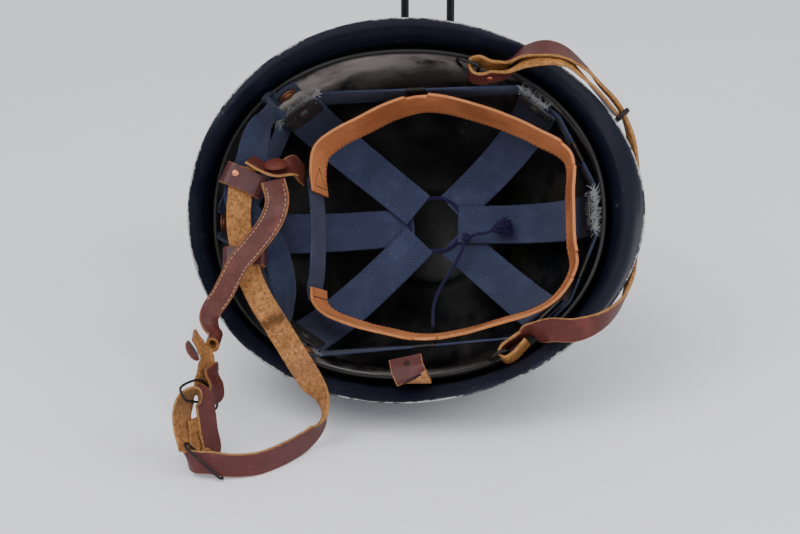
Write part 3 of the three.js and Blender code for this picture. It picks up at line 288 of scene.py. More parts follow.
def turned_skin(bm, profile, where, up, sides=40):
    """A body turned about an axis, from (radius, height) points, standing at where along up."""
    side = up.orthogonal().normalized()
    other = up.cross(side)
    start = len(bm.verts)
    verts = [bm.verts.new(where + side * r + up * h) for r, h in profile]
    edges = [bm.edges.new(pair) for pair in zip(verts, verts[1:])]
    bmesh.ops.spin(bm, geom=verts + edges, cent=where, axis=up, angle=math.tau, steps=sides,
                   use_merge=True, use_duplicate=False)
    bm.verts.ensure_lookup_table()
    bmesh.ops.remove_doubles(bm, verts=bm.verts[start:], dist=WELD)
    bm.verts.ensure_lookup_table()
    for vert in bm.verts[start:]:
        offset = vert.co - where
        mark(bm, vert, offset.dot(side), offset.dot(other), 1.0)


DOME_UNDER, DOME_RIM = 0.1, 0.7   # how deep a rivet head sits, and how tall its rim is


def dome_profile(radius, rise):
    """A domed rivet head with a small rolled rim, closed underneath."""
    points = [(0.0, -DOME_UNDER), (radius * 0.9, -DOME_UNDER)]
    points += [(radius, -DOME_UNDER * 0.3), (radius, DOME_RIM * 0.5)]
    for degrees in (10, 22, 34, 46, 58, 70, 80):
        angle = math.radians(degrees)
        lift = DOME_RIM * 0.6 + (rise - DOME_RIM * 0.6) * math.sin(angle)
        points.append((radius * math.cos(angle), lift))
    return points + [(0.0, rise)]


# ---- finishes -------------------------------------------------------------------------------------
def tint(color):
    """A colour given as the eye reads it, 0 to 255, made ready for a socket; a socket stays as it is."""
    if isinstance(color, bpy.types.NodeSocket):
        return color
    return tuple((c / 255) ** 2.2 for c in color) + (1.0,)


def shade(color, gain, lift=0):
    """A colour made darker or lighter, up to white."""
    return tuple(min(255, c * gain + lift) for c in color)


class Nodes:
    """A shader tree built up step by step. A value is a number, a vector or another node's socket."""

    def __init__(self, tree):
        self.tree = tree

    def feed(self, socket, value):
        """Links or sets an input."""
        if isinstance(value, bpy.types.NodeSocket):
            self.tree.links.new(value, socket)
        else:
            socket.default_value = value

    def put(self, kind, inputs=None, **settings):
        """A node with its settings and inputs."""
        made = self.tree.nodes.new(kind)
        for name, value in settings.items():
            setattr(made, name, value)
        for name, value in (inputs or {}).items():
            self.feed(made.inputs[name], value)
        return made

    def math(self, how, *values):
        return self.put("ShaderNodeMath", dict(enumerate(values)), operation=how).outputs[0]

    def plus(self, first, second):
        return self.math("ADD", first, second)

    def minus(self, first, second):
        return self.math("SUBTRACT", first, second)

    def times(self, first, second):
        return self.math("MULTIPLY", first, second)

    def over(self, first, second):
        return self.math("DIVIDE", first, second)

    def muladd(self, value, gain, start):
        return self.math("MULTIPLY_ADD", value, gain, start)

    def most(self, first, second):
        return self.math("MAXIMUM", first, second)

    def size(self, value):
        return self.math("ABSOLUTE", value)

    def sine(self, value):
        return self.math("SINE", value)

    def parts(self, vector):
        """The x, y and z of a vector."""
        return self.put("ShaderNodeSeparateXYZ", {0: vector}).outputs

    def ramp(self, value, low, high, kind="SMOOTHSTEP"):
        """0 at low and 1 at high, which may be the lower one."""
        inputs = {"Value": value, "From Min": low, "From Max": high}
        return self.put("ShaderNodeMapRange", inputs, interpolation_type=kind).outputs["Result"]

    def blend(self, share, first, second):
        """A colour between two colours."""
        inputs = {0: share, 6: tint(first), 7: tint(second)}
        return self.put("ShaderNodeMix", inputs, data_type="RGBA").outputs[2]

    def speckle(self, place, scale, detail=3.0, rough=0.55, shift=None):
        """Noise from 0 to 1, stretched by shift."""
        if shift:
            place = self.put("ShaderNodeMapping", {"Vector": place, "Scale": shift}).outputs[0]
        inputs = {"Vector": place, "Scale": scale, "Detail": detail, "Roughness": rough}
        return self.put("ShaderNodeTexNoise", inputs).outputs[0]

    def use(self, group, **inputs):
        """A group's outputs, with its inputs given by name."""
        node = self.put("ShaderNodeGroup", node_tree=group)
        for name, value in inputs.items():
            self.feed(node.inputs[name.title()], value)
        return node.outputs

    def give(self, *values):
        """Ends a group with its outputs in order."""
        told = self.tree.nodes.new("NodeGroupOutput")
        for value, socket in zip(values, told.inputs):
            self.feed(socket, value)
        return self.tree


def group_of(name, outputs, vector, **numbers):
    """A new group that takes one vector and some numbers and gives numbers: its nodes and its inputs."""
    tree = bpy.data.node_groups.new(name, "ShaderNodeTree")
    tree.interface.new_socket(vector, in_out="INPUT", socket_type="NodeSocketVector")
    for label, value in numbers.items():
        socket = tree.interface.new_socket(label.title(), in_out="INPUT", socket_type="NodeSocketFloat")
        socket.default_value = value
    for label in outputs:
        tree.interface.new_socket(label, in_out="OUTPUT", socket_type="NodeSocketFloat")
    return Nodes(tree), list(tree.nodes.new("NodeGroupInput").outputs)[:len(numbers) + 1]


def make_grain():
    """Pores and creases of leather: a height, and a tone for its colour."""
    g, (place, scale, depth) = group_of("leather_grain", ("Height", "Tone"), "Place",
                                        scale=900.0, creases=0.4)
    cells = g.put("ShaderNodeTexVoronoi", {"Vector": place, "Scale": scale}, feature="DISTANCE_TO_EDGE")
    fine = g.times(g.speckle(place, 2600.0, 2.0), 0.4)
    creases = g.speckle(place, 95.0, 4.0, 0.6, (1.0, 1.0, 3.0))
    height = g.muladd(creases, depth, g.muladd(g.ramp(cells.outputs[0], 0.0, 0.25), 0.6, fine))
    return g.give(height, g.muladd(creases, 0.6, fine))


THREAD = 0.00045                  # metres from one cross thread of the webbing to the next


def make_twill():
    """Herringbone weave on a laid surface: a height, and a tone for its threads."""
    g, (lay, column, pitch) = group_of("herringbone", ("Height", "Tone"), "Lay", column=0.0042, pitch=0.0011)
    along, across, _ = g.parts(lay)
    slant = g.over(g.plus(along, g.math("PINGPONG", across, column)), pitch)
    ribs = g.sine(g.times(slant, math.tau))
    threads = g.sine(g.times(along, math.tau / THREAD))
    height = g.muladd(threads, 0.12, g.muladd(ribs, 0.4, 0.5))
    return g.give(height, g.muladd(ribs, 0.5, 0.5))


def make_scuffs():
    """Fine scratches and small rubbed spots, from 0 to 1."""
    g, (place, amount, scale) = group_of("scuffs", ("Marks",), "Place", amount=0.5, scale=60.0)
    level = g.minus(0.78, g.times(amount, 0.2))
    spots = g.ramp(g.speckle(place, scale, 8.0, 0.75), level, g.plus(level, 0.05))
    lines = []
    for shift in ((1.0, 0.06, 0.4), (0.1, 1.0, 0.5)):
        streak = g.speckle(place, g.times(scale, 14.0), 1.5, 0.4, shift)
        lines.append(g.ramp(streak, 0.71, 0.74))
    where = g.ramp(g.speckle(place, 22.0, 2.0), 0.52, 0.66)
    scratch = g.times(g.times(g.most(*lines), where), amount)
    return g.give(g.most(spots, scratch))


def make_dust():
    """Soft grey patches that gather unevenly, from 0 to 1."""
    g, (place, scale, amount) = group_of("dust", ("Mask",), "Place", scale=14.0, amount=0.4)
    wide = g.ramp(g.speckle(place, scale, 5.0, 0.6), 0.42, 0.72)
    fine = g.muladd(g.speckle(place, 420.0, 3.0, 0.7), 0.8, 0.4)
    return g.give(g.times(g.times(wide, fine), amount))


GRAIN, TWILL, SCUFFS, DUST = make_grain(), make_twill(), make_scuffs(), make_dust()


class Surface(Nodes):
    """A material whose colour, roughness and bump are built up step by step."""

    def __init__(self, name):
        self.material = bpy.data.materials.new(name)
        self.material.use_nodes = True
        super().__init__(self.material.node_tree)
        self.shader = self.tree.nodes["Principled BSDF"]
        self.place = self.put("ShaderNodeTexCoord").outputs["Object"]
        self.lay = self.put("ShaderNodeUVMap", uv_map="lay").outputs[0]

    def layer(self, name):
        """One of the mesh's own layers."""
        return self.put("ShaderNodeAttribute", attribute_name=name).outputs["Fac"]

    def noise(self, *shape):
        """Noise that stays with the piece."""
        return self.speckle(self.place, *shape)

    def done(self, color, roughness, bump, depth, **shader):
        """The finished material; depth is how far the bump goes, in metres."""
        made = self.put("ShaderNodeBump", {"Height": bump, "Distance": depth, "Strength": 1.0})
        shader.update(base_color=color, roughness=roughness, normal=made.outputs[0])
        for name, value in shader.items():
            self.feed(self.shader.inputs[name.replace("_", " ").title().replace("Ior", "IOR")], value)
        return self.material


def paint_finish():
    """Dark navy gloss paint, chipped to bare metal along the rim and scuffed all over."""
    s = Surface("shell_paint")
    edge = s.size(s.layer("across"))
    chips = s.noise(260.0, 6.0, 0.75)
    patches = s.noise(34.0, 4.0, 0.65)
    reach = s.muladd(chips, 5.2, s.muladd(patches, 5.5, -5.05))
    bare = s.ramp(s.minus(reach, edge), -0.25, 0.35)
    marks = s.use(SCUFFS, place=s.place, amount=0.55, scale=55.0)["Marks"]
    dust = s.use(DUST, place=s.place, scale=11.0, amount=0.1)["Mask"]
    tone = s.blend(s.noise(9.0), (15, 17, 27), (27, 31, 45))
    tone = s.blend(dust, tone, (84, 88, 98))
    tone = s.blend(s.times(marks, 0.5), tone, (120, 126, 138))
    worn = s.blend(s.noise(700.0, 2.0), (178, 178, 176), (92, 88, 86))
    color = s.blend(bare, tone, worn)
    rough = s.muladd(s.noise(40.0, 5.0, 0.6), 0.22, 0.2)
    rough = s.muladd(bare, 0.25, rough)
    bump = s.muladd(bare, -0.6, s.times(s.noise(320.0, 3.0), 0.35))
    return s.done(color, rough, bump, 0.00022, coat_weight=0.08, coat_roughness=0.12, specular_ior_level=0.2)


UPPER_PATCH, LOWER_PATCH = (0.150, 0.172), (0.062, 0.044)   # heights between which the liner's pale patches set in: painted sheen mixed with wear


def liner_finish():
    """Resined fibre: black, mottled with grey bloom and streaks, pale near the rim at its top and bottom with
    painted sheen mixed with wear, and painted shade deep inside.
    """
    s = Surface("liner_fibre")
    edge = s.size(s.layer("across"))
    mottle = s.ramp(s.noise(26.0, 6.0, 0.62), 0.4, 0.66)
    bloom = s.ramp(s.noise(8.0, 4.0, 0.55), 0.5, 0.68)
    streak = s.ramp(s.noise(46.0, 3.0, 0.5, (1.0, 0.12, 0.3)), 0.56, 0.7)
    marks = s.use(SCUFFS, place=s.place, amount=0.5, scale=48.0)["Marks"]
    tone = s.blend(mottle, (20, 21, 24), (42, 41, 42))
    tone = s.blend(s.times(bloom, 0.3), tone, (74, 72, 68))
    tone = s.blend(s.times(streak, 0.15), tone, (110, 104, 94))
    tone = s.blend(s.times(marks, 0.3), tone, (140, 134, 122))
    height = s.parts(s.place)[2]
    # Pale patches near the rim, set by height where the light falls on the inner wall: painted sheen mixed
    # with real wear.
    sheen_and_wear_band = s.most(s.ramp(height, *UPPER_PATCH), s.ramp(height, *LOWER_PATCH))
    sheen_and_wear_band = s.times(sheen_and_wear_band, s.times(s.ramp(edge, 78.0, 52.0), s.ramp(edge, 2.0, 8.0)))
    # worn here carries the painted sheen together with the wear.
    worn = s.times(sheen_and_wear_band, s.ramp(s.noise(19.0, 5.0, 0.6), 0.36, 0.52))
    tone = s.blend(s.times(worn, 0.92), tone, s.blend(mottle, (112, 106, 102), (158, 150, 144)))
    # Painted shade: the liner grows darker towards the crown, deep inside where the light does not reach.
    deep = s.ramp(edge, 70.0, 150.0)
    tone = s.blend(s.times(deep, 0.6), tone, (7, 7, 8))
    rim = s.ramp(s.plus(edge, s.times(s.noise(160.0, 4.0), -2.2)), 1.1, 0.1)
    color = s.blend(rim, tone, (34, 32, 33))
    rough = s.muladd(mottle, 0.22, 0.46)
    bump = s.muladd(mottle, 0.3, s.noise(500.0, 4.0))
    return s.done(color, rough, bump, 0.00018, specular_ior_level=0.22)


WEAVE_COLUMN, WEAVE_PITCH = 0.0036, 0.0015      # metres


def webbing_finish(name, dark, light, worn):
    """Cotton webbing in herringbone, with rubbed pale threads and specks of lint."""
    s = Surface(name)
    weave = s.use(TWILL, lay=s.lay, column=WEAVE_COLUMN, pitch=WEAVE_PITCH)
    fibres = s.noise(1900.0, 2.0, 0.6)
    fade = s.ramp(s.noise(45.0, 4.0, 0.6), 0.42, 0.75)
    tone = s.blend(weave["Tone"], dark, light)
    pale = shade(light, 1.5, 22)
    tone = s.blend(s.times(s.times(fade, fibres), worn * 2), tone, pale)
    specks = s.ramp(s.noise(900.0, 1.0), 0.72, 0.76)
    tone = s.blend(s.times(specks, 0.22), tone, (150, 156, 176))
    bump = s.muladd(fibres, 0.3, weave["Height"])
    return s.done(tone, 0.86, bump, 0.00028, sheen_weight=0.08, sheen_roughness=0.5, specular_ior_level=0.25)


def cotton_finish(name, dark, light, twist=0.0016):
    """Twisted thread, shaded between its strands."""
    s = Surface(name)
    along, across, _ = s.parts(s.lay)
    slant = s.plus(s.over(along, twist), s.over(across, twist * 1.6))
    strand = s.muladd(s.sine(s.times(slant, math.tau)), 0.5, 0.5)
    fibres = s.noise(2200.0, 2.0)
    tone = s.blend(s.muladd(fibres, 0.4, s.times(strand, 0.6)), dark, light)
    return s.done(tone, 0.9, s.muladd(fibres, 0.4, strand), 0.0003,
                  sheen_weight=0.06, sheen_roughness=0.6, specular_ior_level=0.2)


def leather_finish(name, face, back, edge, half, gloss, stains=(), creases=0.5, coat=0.12):
    """Strap leather with a smooth face, a fibrous back and paler cut edges.

    half is half the strap's width; a stain is its place along, its reach, its colour and its strength.
    """
    s = Surface(name)
    side = s.layer("side")
    across = s.size(s.layer("across"))
    grain = s.use(GRAIN, place=s.place, scale=1100.0, creases=creases)
    wear = s.ramp(s.noise(70.0, 5.0, 0.65), 0.5, 0.72)
    smooth = s.blend(grain["Tone"], shade(face, 0.72), shade(face, 1.18))
    smooth = s.blend(s.times(wear, 0.22), smooth, shade(face, 1.5, 20))
    nap = s.ramp(s.noise(430.0, 6.0, 0.85), 0.34, 0.68, "LINEAR")
    blotch = s.ramp(s.noise(60.0, 5.0, 0.6), 0.38, 0.7)
    rough_side = s.blend(nap, shade(back, 0.5), shade(back, 1.34))
    rough_side = s.blend(s.times(blotch, 0.4), rough_side, shade(back, 0.62))
    length = s.parts(s.lay)[0]
    for middle, reach, stain, strength in stains:
        off = s.size(s.minus(length, middle))
        off = s.muladd(s.noise(120.0, 4.0, 0.65), reach * 1.6, off)
        patch = s.ramp(off, reach * 1.6, reach * 0.9)
        rough_side = s.blend(s.times(patch, strength), rough_side, stain)
    facing = s.ramp(side, 0.55, 0.9)
    color = s.blend(facing, rough_side, smooth)
    cut = s.times(s.ramp(s.plus(side, -0.75), 0.2, -0.1), s.ramp(side, 0.1, 0.4))
    rub = s.muladd(s.noise(240.0, 4.0, 0.7), 1.3, half - 1.25)
    rubbed = s.times(s.ramp(s.minus(across, rub), 0.0, 0.35), facing)
    cut = s.most(cut, s.times(rubbed, 0.8))
    fibre = s.blend(nap, shade(edge, 0.6), edge)
    color = s.blend(cut, color, fibre)
    rough = s.muladd(s.minus(1.0, facing), 0.88 - gloss, gloss)
    rough = s.muladd(wear, 0.12, rough)
    rough = s.most(rough, s.times(cut, 0.85))
    fuzz = s.times(nap, s.minus(1.6, facing))
    bump = s.muladd(grain["Height"], 0.35, fuzz)
    shine = s.times(s.minus(facing, cut), coat)
    return s.done(color, rough, bump, 0.0003, coat_weight=s.most(shine, 0.0), coat_roughness=0.2,
                  specular_ior_level=0.2)


def band_leather_finish():
    """Head band leather: orange tan, darkened by wear inside, with pale fibrous edges."""
    s = Surface("head_band_leather")
    across = s.size(s.layer("across"))
    grain = s.use(GRAIN, place=s.place, scale=800.0, creases=0.7)
    wide = s.ramp(s.noise(20.0, 5.0, 0.6), 0.36, 0.68)
    color = s.blend(grain["Tone"], (180, 104, 58), (230, 150, 96))
    color = s.blend(s.times(wide, 0.75), color, (140, 78, 42))
    shine = s.ramp(s.noise(55.0, 4.0), 0.5, 0.7)
    rub = s.muladd(s.noise(200.0, 4.0, 0.7), 2.2, 14.1)
    edge = s.ramp(s.minus(across, rub), -0.1, 0.5)
    color = s.blend(edge, color, s.blend(s.noise(1200.0), (160, 94, 52), (206, 136, 86)))
    dark = s.ramp(s.noise(90.0, 6.0, 0.75), 0.66, 0.74)
    color = s.blend(s.times(dark, 0.7), color, (70, 36, 18))
    rough = s.muladd(edge, 0.2, s.muladd(shine, -0.14, 0.66))
    bump = s.muladd(edge, 0.5, grain["Height"])
    return s.done(color, rough, bump, 0.0003)


def metal_finish(name, dark, light, rough, metal, rust=0.0):
    """Small fittings: dark or copper metal with rubbed highlights and some rust."""
    s = Surface(name)
    cloud = s.noise(180.0, 5.0, 0.65)
    marks = s.use(SCUFFS, place=s.place, amount=0.7, scale=240.0)["Marks"]
    tone = s.blend(cloud, dark, light)
    tone = s.blend(s.times(marks, 0.6), tone, shade(light, 1.7, 30))
    if rust:
        red = s.ramp(s.noise(320.0, 5.0, 0.7), 0.62 - rust * 0.3, 0.7 - rust * 0.2)
        tone = s.blend(s.times(red, rust), tone, (122, 74, 48))
    value = s.muladd(cloud, 0.25, rough)
    bump = s.noise(900.0, 3.0)
    return s.done(tone, value, bump, 0.00008, metallic=metal)


def cloth_floor_finish():
    """Plain pale cloth."""
    s = Surface("pale_floor")
    tone = s.blend(s.noise(3.0, 4.0), (233, 232, 238), (241, 240, 245))
    return s.done(tone, 0.9, s.noise(9.0, 5.0, 0.6), 0.002, specular_ior_level=0.2)


PAINT = paint_finish()
FIBRE = liner_finish()
TWILL_WEB = webbing_finish("navy_webbing", (35, 39, 58), (62, 69, 97), 0.1)
BLUE_WEB = webbing_finish("nape_blue", (22, 26, 42), (38, 45, 68), 0.12)
LACE = cotton_finish("purple_lace", (14, 9, 34), (42, 30, 84))
WHITE_THREAD = cotton_finish("frayed_thread", (178, 180, 186), (240, 240, 242), 0.0005)
BAND_LEATHER = band_leather_finish()
CHIN_STAINS = (
    (0.102, 0.008, (58, 40, 24), 0.75),
    (0.137, 0.011, (112, 76, 62), 0.4),
    (0.31, 0.03, (96, 74, 52), 0.6),
)
CHIN_LEATHER = leather_finish("chin_leather", (82, 42, 40), (160, 110, 68), (190, 138, 84), 7.5,
                              gloss=0.36, stains=CHIN_STAINS)
BRANCH_LEATHER = leather_finish("branch_leather", (76, 38, 33), (158, 108, 66), (172, 118, 72), 7.0,
                                gloss=0.26, creases=0.35, coat=0.14)
BROW_LEATHER = leather_finish("brow_leather", (80, 40, 35), (176, 122, 70), (190, 136, 84), 7.3,
                              gloss=0.46, coat=0.04)
TAB_LEATHER = leather_finish("tab_leather", (72, 34, 32), (170, 118, 80), (196, 138, 88), 10.0, gloss=0.3)
KEEPER_LEATHER = leather_finish("keeper_leather", (66, 28, 28), (150, 96, 52), (150, 104, 66), 7.0,
                                gloss=0.17, creases=0.25, coat=0.25)
LEATHER_DOME = leather_finish("domed_rivet", (88, 40, 33), (88, 40, 33), (100, 48, 38), 20.0,
                              gloss=0.45, creases=0.1, coat=0.08)
DARK_METAL = metal_finish("dark_fittings", (18, 18, 20), (52, 50, 50), 0.36, 0.75, 0.25)
PLATE_PAINT = metal_finish("plate_paint", (20, 22, 26), (58, 58, 58), 0.38, 0.2, 0.3)
RUSTY = metal_finish("rusty_anchor", (48, 36, 30), (116, 98, 84), 0.45, 0.7, 0.8)
COPPER = metal_finish("copper_rivet", (150, 78, 58), (214, 140, 112), 0.28, 0.95, 0.1)
WIRE_PAINT = metal_finish("stand_paint", (8, 8, 9), (22, 22, 23), 0.38, 0.3)
DARK_THREAD = cotton_finish("dark_thread", (30, 14, 12), (66, 30, 26), 0.0006)
PALE_THREAD = cotton_finish("pale_stitch", (150, 110, 78), (204, 164, 122), 0.0006)


# ---- courses of the straps ------------------------------------------------------------------------
# Each row is a centre x, y, z and a width direction; a row of three keeps the direction before it.
CHIN_STRAP = [
    (-103.6, 21.3, 150.4, 0.87, -0.2, -0.46), (-105.2, 17.2, 142.8, 0.89, -0.17, -0.42),
    (-106.6, 11.6, 133.2, 0.96, -0.07, -0.24), (-107, 4.8, 124.8, 1, 0.02, 0.05),
    (-105.9, -2.7, 114.6, 0.99, 0.05, 0.13), (-102.8, -11.5, 103.7, 0.97, 0.09, 0.21),
    (-99.2, -19.1, 93.6, 0.95, 0.13, 0.3), (-93.5, -26.3, 83.5, 0.91, 0.17, 0.39),
    (-82.9, -36.7, 69.5, 0.85, 0.21, 0.49), (-68.7, -51.7, 51.9, 0.88, 0.18, 0.43),
    (-60.8, -60, 42.5, 0.84, -0.1, 0.5), (-56, -62.4, 35.6, 0.62, -0.55, 0.55),
    (-54.2, -63.4, 28.4, 0.35, -0.8, 0.5), (-54.4, -63.4, 21, 0.1, -0.72, 0.68),
    (-57.4, -64, 13.6, 0, -0.45, 0.9), (-63, -68.4, 9, 0, -0.15, 1), (-70.1, -77.7, 7.9, 0, 0, 1),
    (-77.4, -86.5, 7.9), (-92.7, -98.9, 8.1), (-108.8, -103.8, 9.8), (-119.5, -104.2, 11.8),
    (-127.5, -104, 12), (-132.2, -101.4, 12.2, -0.2, -0.2, 0.95), (-133, -97.4, 15, -0.4, -0.5, 0.75),
    (-134, -95.6, 22, -0.55, -0.62, 0.55), (-135.4, -94, 30, -0.62, -0.66, 0.42), (-136, -91.4, 37.4),
    (-133.6, -87, 44.3), (-128.5, -84, 46.8), (-124.4, -82, 43.1), (-122.5, -83.4, 33.4),
    (-121.2, -86, 22.9), (-119.6, -88.4, 13.6), (-121, -90.4, 9.2), (-124.8, -91.4, 11.4),
    (-126.6, -90.4, 18.7), (-127, -88.4, 27.5), (-127.6, -87.4, 32.9),
]
BRANCH_STRAP = [
    (-85.4, 7.2, 146.1, 1, 0, 0), (-82.6, -2.5, 137.5, 1, 0.03, 0.08),
    (-84.8, -10.2, 129.5, 0.98, -0.08, -0.19), (-90.1, -16, 122, 0.88, -0.18, -0.43),
    (-97.8, -21.9, 113.9, 0.82, -0.22, -0.53), (-105.5, -27.7, 105.9, 0.79, -0.24, -0.57),
    (-110.7, -34.5, 97.6, 0.83, -0.22, -0.51), (-115.2, -40.8, 90.5, 0.85, -0.21, -0.49),
    (-120.3, -46.8, 84.7, 0.91, -0.17, -0.39), (-122, -50.6, 79.8, 0.85, 0.35, -0.15),
    (-119.4, -53, 72.4, 0.35, 0.92, 0.15),
]
BRANCH_ROLL = [
    (-115.9, -54.8, 68.3, 0.12, 0.97, 0.22), (-117.6, -54.8, 64.8), (-120.7, -54.8, 64.8),
    (-122.1, -54.8, 68.3), (-120.4, -54.8, 71.7), (-117.4, -54.8, 71.7),
]
LINK_STRAP = [
    (-129.3, -69.1, 77.9, 0.38, 0.45, -0.81), (-125.6, -68.1, 69.6), (-123, -67.1, 62),
    (-123.6, -67.6, 53), (-125.6, -68.1, 44.4), (-124.4, -68.6, 38.4), (-121.6, -68.8, 36),
    (-118.6, -68.6, 37.6), (-117.8, -68.1, 43.6), (-119.6, -67.6, 51.7), (-120.2, -67.1, 57),
]
STRAP_JOINT = [
    (-100.6, -4.9, 31.2, 0, 0.85, 0.5), (-92.2, -4.5, 26.3), (-84, -3.8, 23.4),
    (-77.6, 0.6, 25.4, 0, 0.8, 0.6), (-75.2, 8, 28.4, -0.1, 0.5, 0.85), (-75.2, 22, 29.6, 0, 0.1, 1),
    (-76.2, 38, 30, 0, 0, 1), (-76.2, 56, 30),
]
NAPE_WEB = [
    (-89.2, 14.8, 66, 0.35, 0.9, 0.2), (-95.8, 12, 55.6, 0.6, 0.78, 0.1),
    (-99.4, 7.4, 44, 0.8, 0.5, -0.1), (-101.2, 1.9, 31, 0.86, 0.15, -0.48),
    (-104.8, 0.9, 20.6, 0.86, 0.14, -0.48), (-108.4, 1, 10.8, 0.9, 0.12, -0.38),
    (-105, 1.4, 0.6, 0.97, 0.15, 0), (-96.4, 2, -9.2, 0.92, 0.3, 0.25),
    (-88.1, 3, -19.8, 0.85, 0.45, 0.25), (-83.3, 5, -33.3, 0.8, 0.58, 0.15),
    (-80.8, 10, -48.5, 0.7, 0.7, 0.1), (-81, 17, -60.5, 0.4, 0.9, 0.1),
    (-81.6, 23.5, -71.5, 0.15, 0.98, 0.05),
]
TAB_UPPER = [
    (-118, 15, 12, 0.1, 0.97, 0.2), (-110.5, 11.5, 17, 0.2, 0.95, 0.2),
]
TAB_LOWER = [
    (-114, 14, -20, 0.1, 1, 0), (-101, 11, -28, 0.2, 1, 0), (-93, 9.5, -31),
]
BROW_STRAP = [
    (125, 16.8, 58, -0.1, 0.99, 0.1), (120.2, 13, 63.6), (112, 6.7, 72.6, -0.1, 0.98, 0.17),
    (102.8, 0.7, 81.6, -0.1, 0.91, 0.4), (93.6, -5.6, 88.8, -0.08, 0.74, 0.66),
    (81.8, -7.3, 90.8, -0.07, 0.64, 0.77), (68.8, -4, 88.2, -0.09, 0.84, 0.53),
    (58, 4.2, 84.6, -0.1, 0.99, 0.02), (49.2, 9.6, 83.1, -0.1, 0.97, -0.23), (41.6, 10.8, 81.9),
    (36.6, 11.1, 83.1), (34.2, 11.1, 87.5), (35.4, 11.1, 91.9), (40.4, 10.8, 92.9), (48, 9.6, 90),
    (58, 4.2, 90.8, -0.1, 0.99, 0.02), (68.8, -4, 95.2, -0.09, 0.84, 0.53),
    (81.9, -7.3, 96.3, -0.07, 0.64, 0.77), (94, -5.6, 93.6, -0.08, 0.74, 0.66),
    (105.7, 0.7, 85.4, -0.1, 0.91, 0.4), (115.2, 6.7, 75.4, -0.1, 0.98, 0.17),
    (122.6, 12.7, 67.9, -0.1, 0.99, 0.1), (128, 16.8, 60.1), (133.4, 21, 44, -0.25, 0.96, 0.05),
    (134.6, 25.5, 24, -0.4, 0.9, 0), (134.6, 27, 0, -0.45, 0.89, 0), (133.4, 25.5, -24, -0.4, 0.9, 0),
    (131, 19.4, -45, -0.25, 0.95, -0.05), (125.6, 8.6, -59, -0.1, 0.95, -0.3),
    (114, -3, -70, 0, 0.75, -0.65), (98.3, -7, -75.7, 0, 0.35, -0.94),
    (84.5, -5, -75.4, 0, 0.25, -0.97), (75.3, 2, -76.3, 0.05, 0.7, -0.7),
    (68.6, 8.5, -76, 0.1, 0.97, -0.2), (60.7, 10.5, -80.5), (54.5, 11.1, -85.5), (53, 11.1, -89.8),
    (56.3, 10.8, -92.2), (61.2, 10.6, -89.5), (66.1, 10.1, -84.4), (69.1, 10.1, -81),
]
SIDE_TAB = [
    (-4, 32, -98.2, 1, 0, 0), (-3, 18, -99.3), (-1, 8, -102.5), (1, 2, -106), (0, -2.4, -104.5),
    (-3, -1.5, -98.6), (-5, 1.6, -91),
]
REAR_WEB = [
    (-70.6, 66.7, 28, 0.16, 0.99, 0), (-69.6, 66.6, 19), (-68.4, 66.4, 8), (-68, 66.3, -12),
    (-68.8, 66.3, -34), (-70.2, 66.3, -43), (-69.1, 66.2, -51),
]
WIRE_RING = [
    (-125.3, -72.5, 49.4), (-121.9, -68.4, 42), (-117.9, -63.5, 33.6), (-118.4, -64, 27),
    (-123.2, -73.2, 32.2), (-123.7, -77.6, 36.9), (-128.5, -84.9, 41.8), (-133.4, -94.6, 48.4),
    (-136.2, -91.1, 53.4), (-130.8, -82.1, 53.8),
]
BROW_LOOP_RIGHT = [
    (40.4, 2.4, 88.4), (39.4, 11, 87.2), (38.4, 18.8, 85.6), (34.6, 19.8, 86.6), (28.4, 18.4, 91.8),
    (26.8, 11, 93), (28.4, 2.8, 93), (34.6, 1.4, 90.8),
]
BROW_LOOP_LEFT = [
    (56, 2.4, -87), (57, 11, -88.2), (57.6, 19.2, -87.6), (53, 19.8, -88.2), (47.6, 18.4, -90.6),
    (46.4, 11, -92), (47.4, 3.2, -91.4), (51.4, 1.2, -88.6),
]
TASSEL_TAIL = [
    (3.7, -1.6, 0.5), (8, -4, 1.6), (13, -7, 1.4), (17, -9, 2.8),
]
LONG_TAIL = [
    (-0.8, -1.8, -3.4), (-3, -2.5, -10), (-9, -5, -22), (-16, -8.5, -34), (-20, -13, -45),
    (-20.5, -20, -55), (-19.5, -28, -62),
]


# ---- bowls ----------------------------------------------------------------------------------------
RIM_LENGTH, SHELL_CROWN, LINER_CROWN, EGG = 141.4, 170.0, 166.6, 0.057
SHELL_WALL, LINER_WALL = 1.3, 2.5
BROW_LIFT, NAPE_LIFT, LIFT_FADE = 15.0, 6.0, 60.0
BOWL_TURNS, ROW_STEPS, LIP_STEPS, LAY_RADIUS = 144, 5, 6, 100.0
# depth below the rim; reach to brow, nape and side; how square the outline is
SHELL_ROWS = [
    (0, RIM_LENGTH, RIM_LENGTH, 119, 2.0), (2, 139.0, 140.4, 117.6, 2.0), (6, 133.8, 137.4, 114.4, 2.02),
    (13, 127.4, 134.2, 110.6, 2.06), (30, 121.8, 131.6, 108.2, 2.12), (60, 118.5, 127.5, 105.2, 2.12),
    (90, 109.5, 118.5, 97.5, 2.08), (115, 96, 104.5, 86, 2.04), (135, 79, 86, 71.5, 2.0),
    (150, 60.5, 66, 55.5, 2.0), (163.5, 35, 39, 32, 2.0),
]
LINER_ROWS = [
    (20, 117.6, 128.6, 103.6, 2.15), (30, 117.4, 127.8, 103.2, 2.14), (60, 114.8, 124.2, 101.2, 2.12),
    (90, 106.4, 115.4, 94, 2.08), (115, 92.8, 101.2, 82.5, 2.04), (135, 75.6, 82.6, 68, 2.0),
    (150, 56.8, 62.4, 52, 2.0), (160.5, 34.5, 38.5, 32, 2.0),
]


def rim_lift(x, depth):
    """How far the rim is lifted at the brow and at the nape, fading with depth."""
    amount = BROW_LIFT if x > 0 else NAPE_LIFT
    return amount * (x / RIM_LENGTH) ** 2 * max(0.0, 1 - depth / LIFT_FADE)


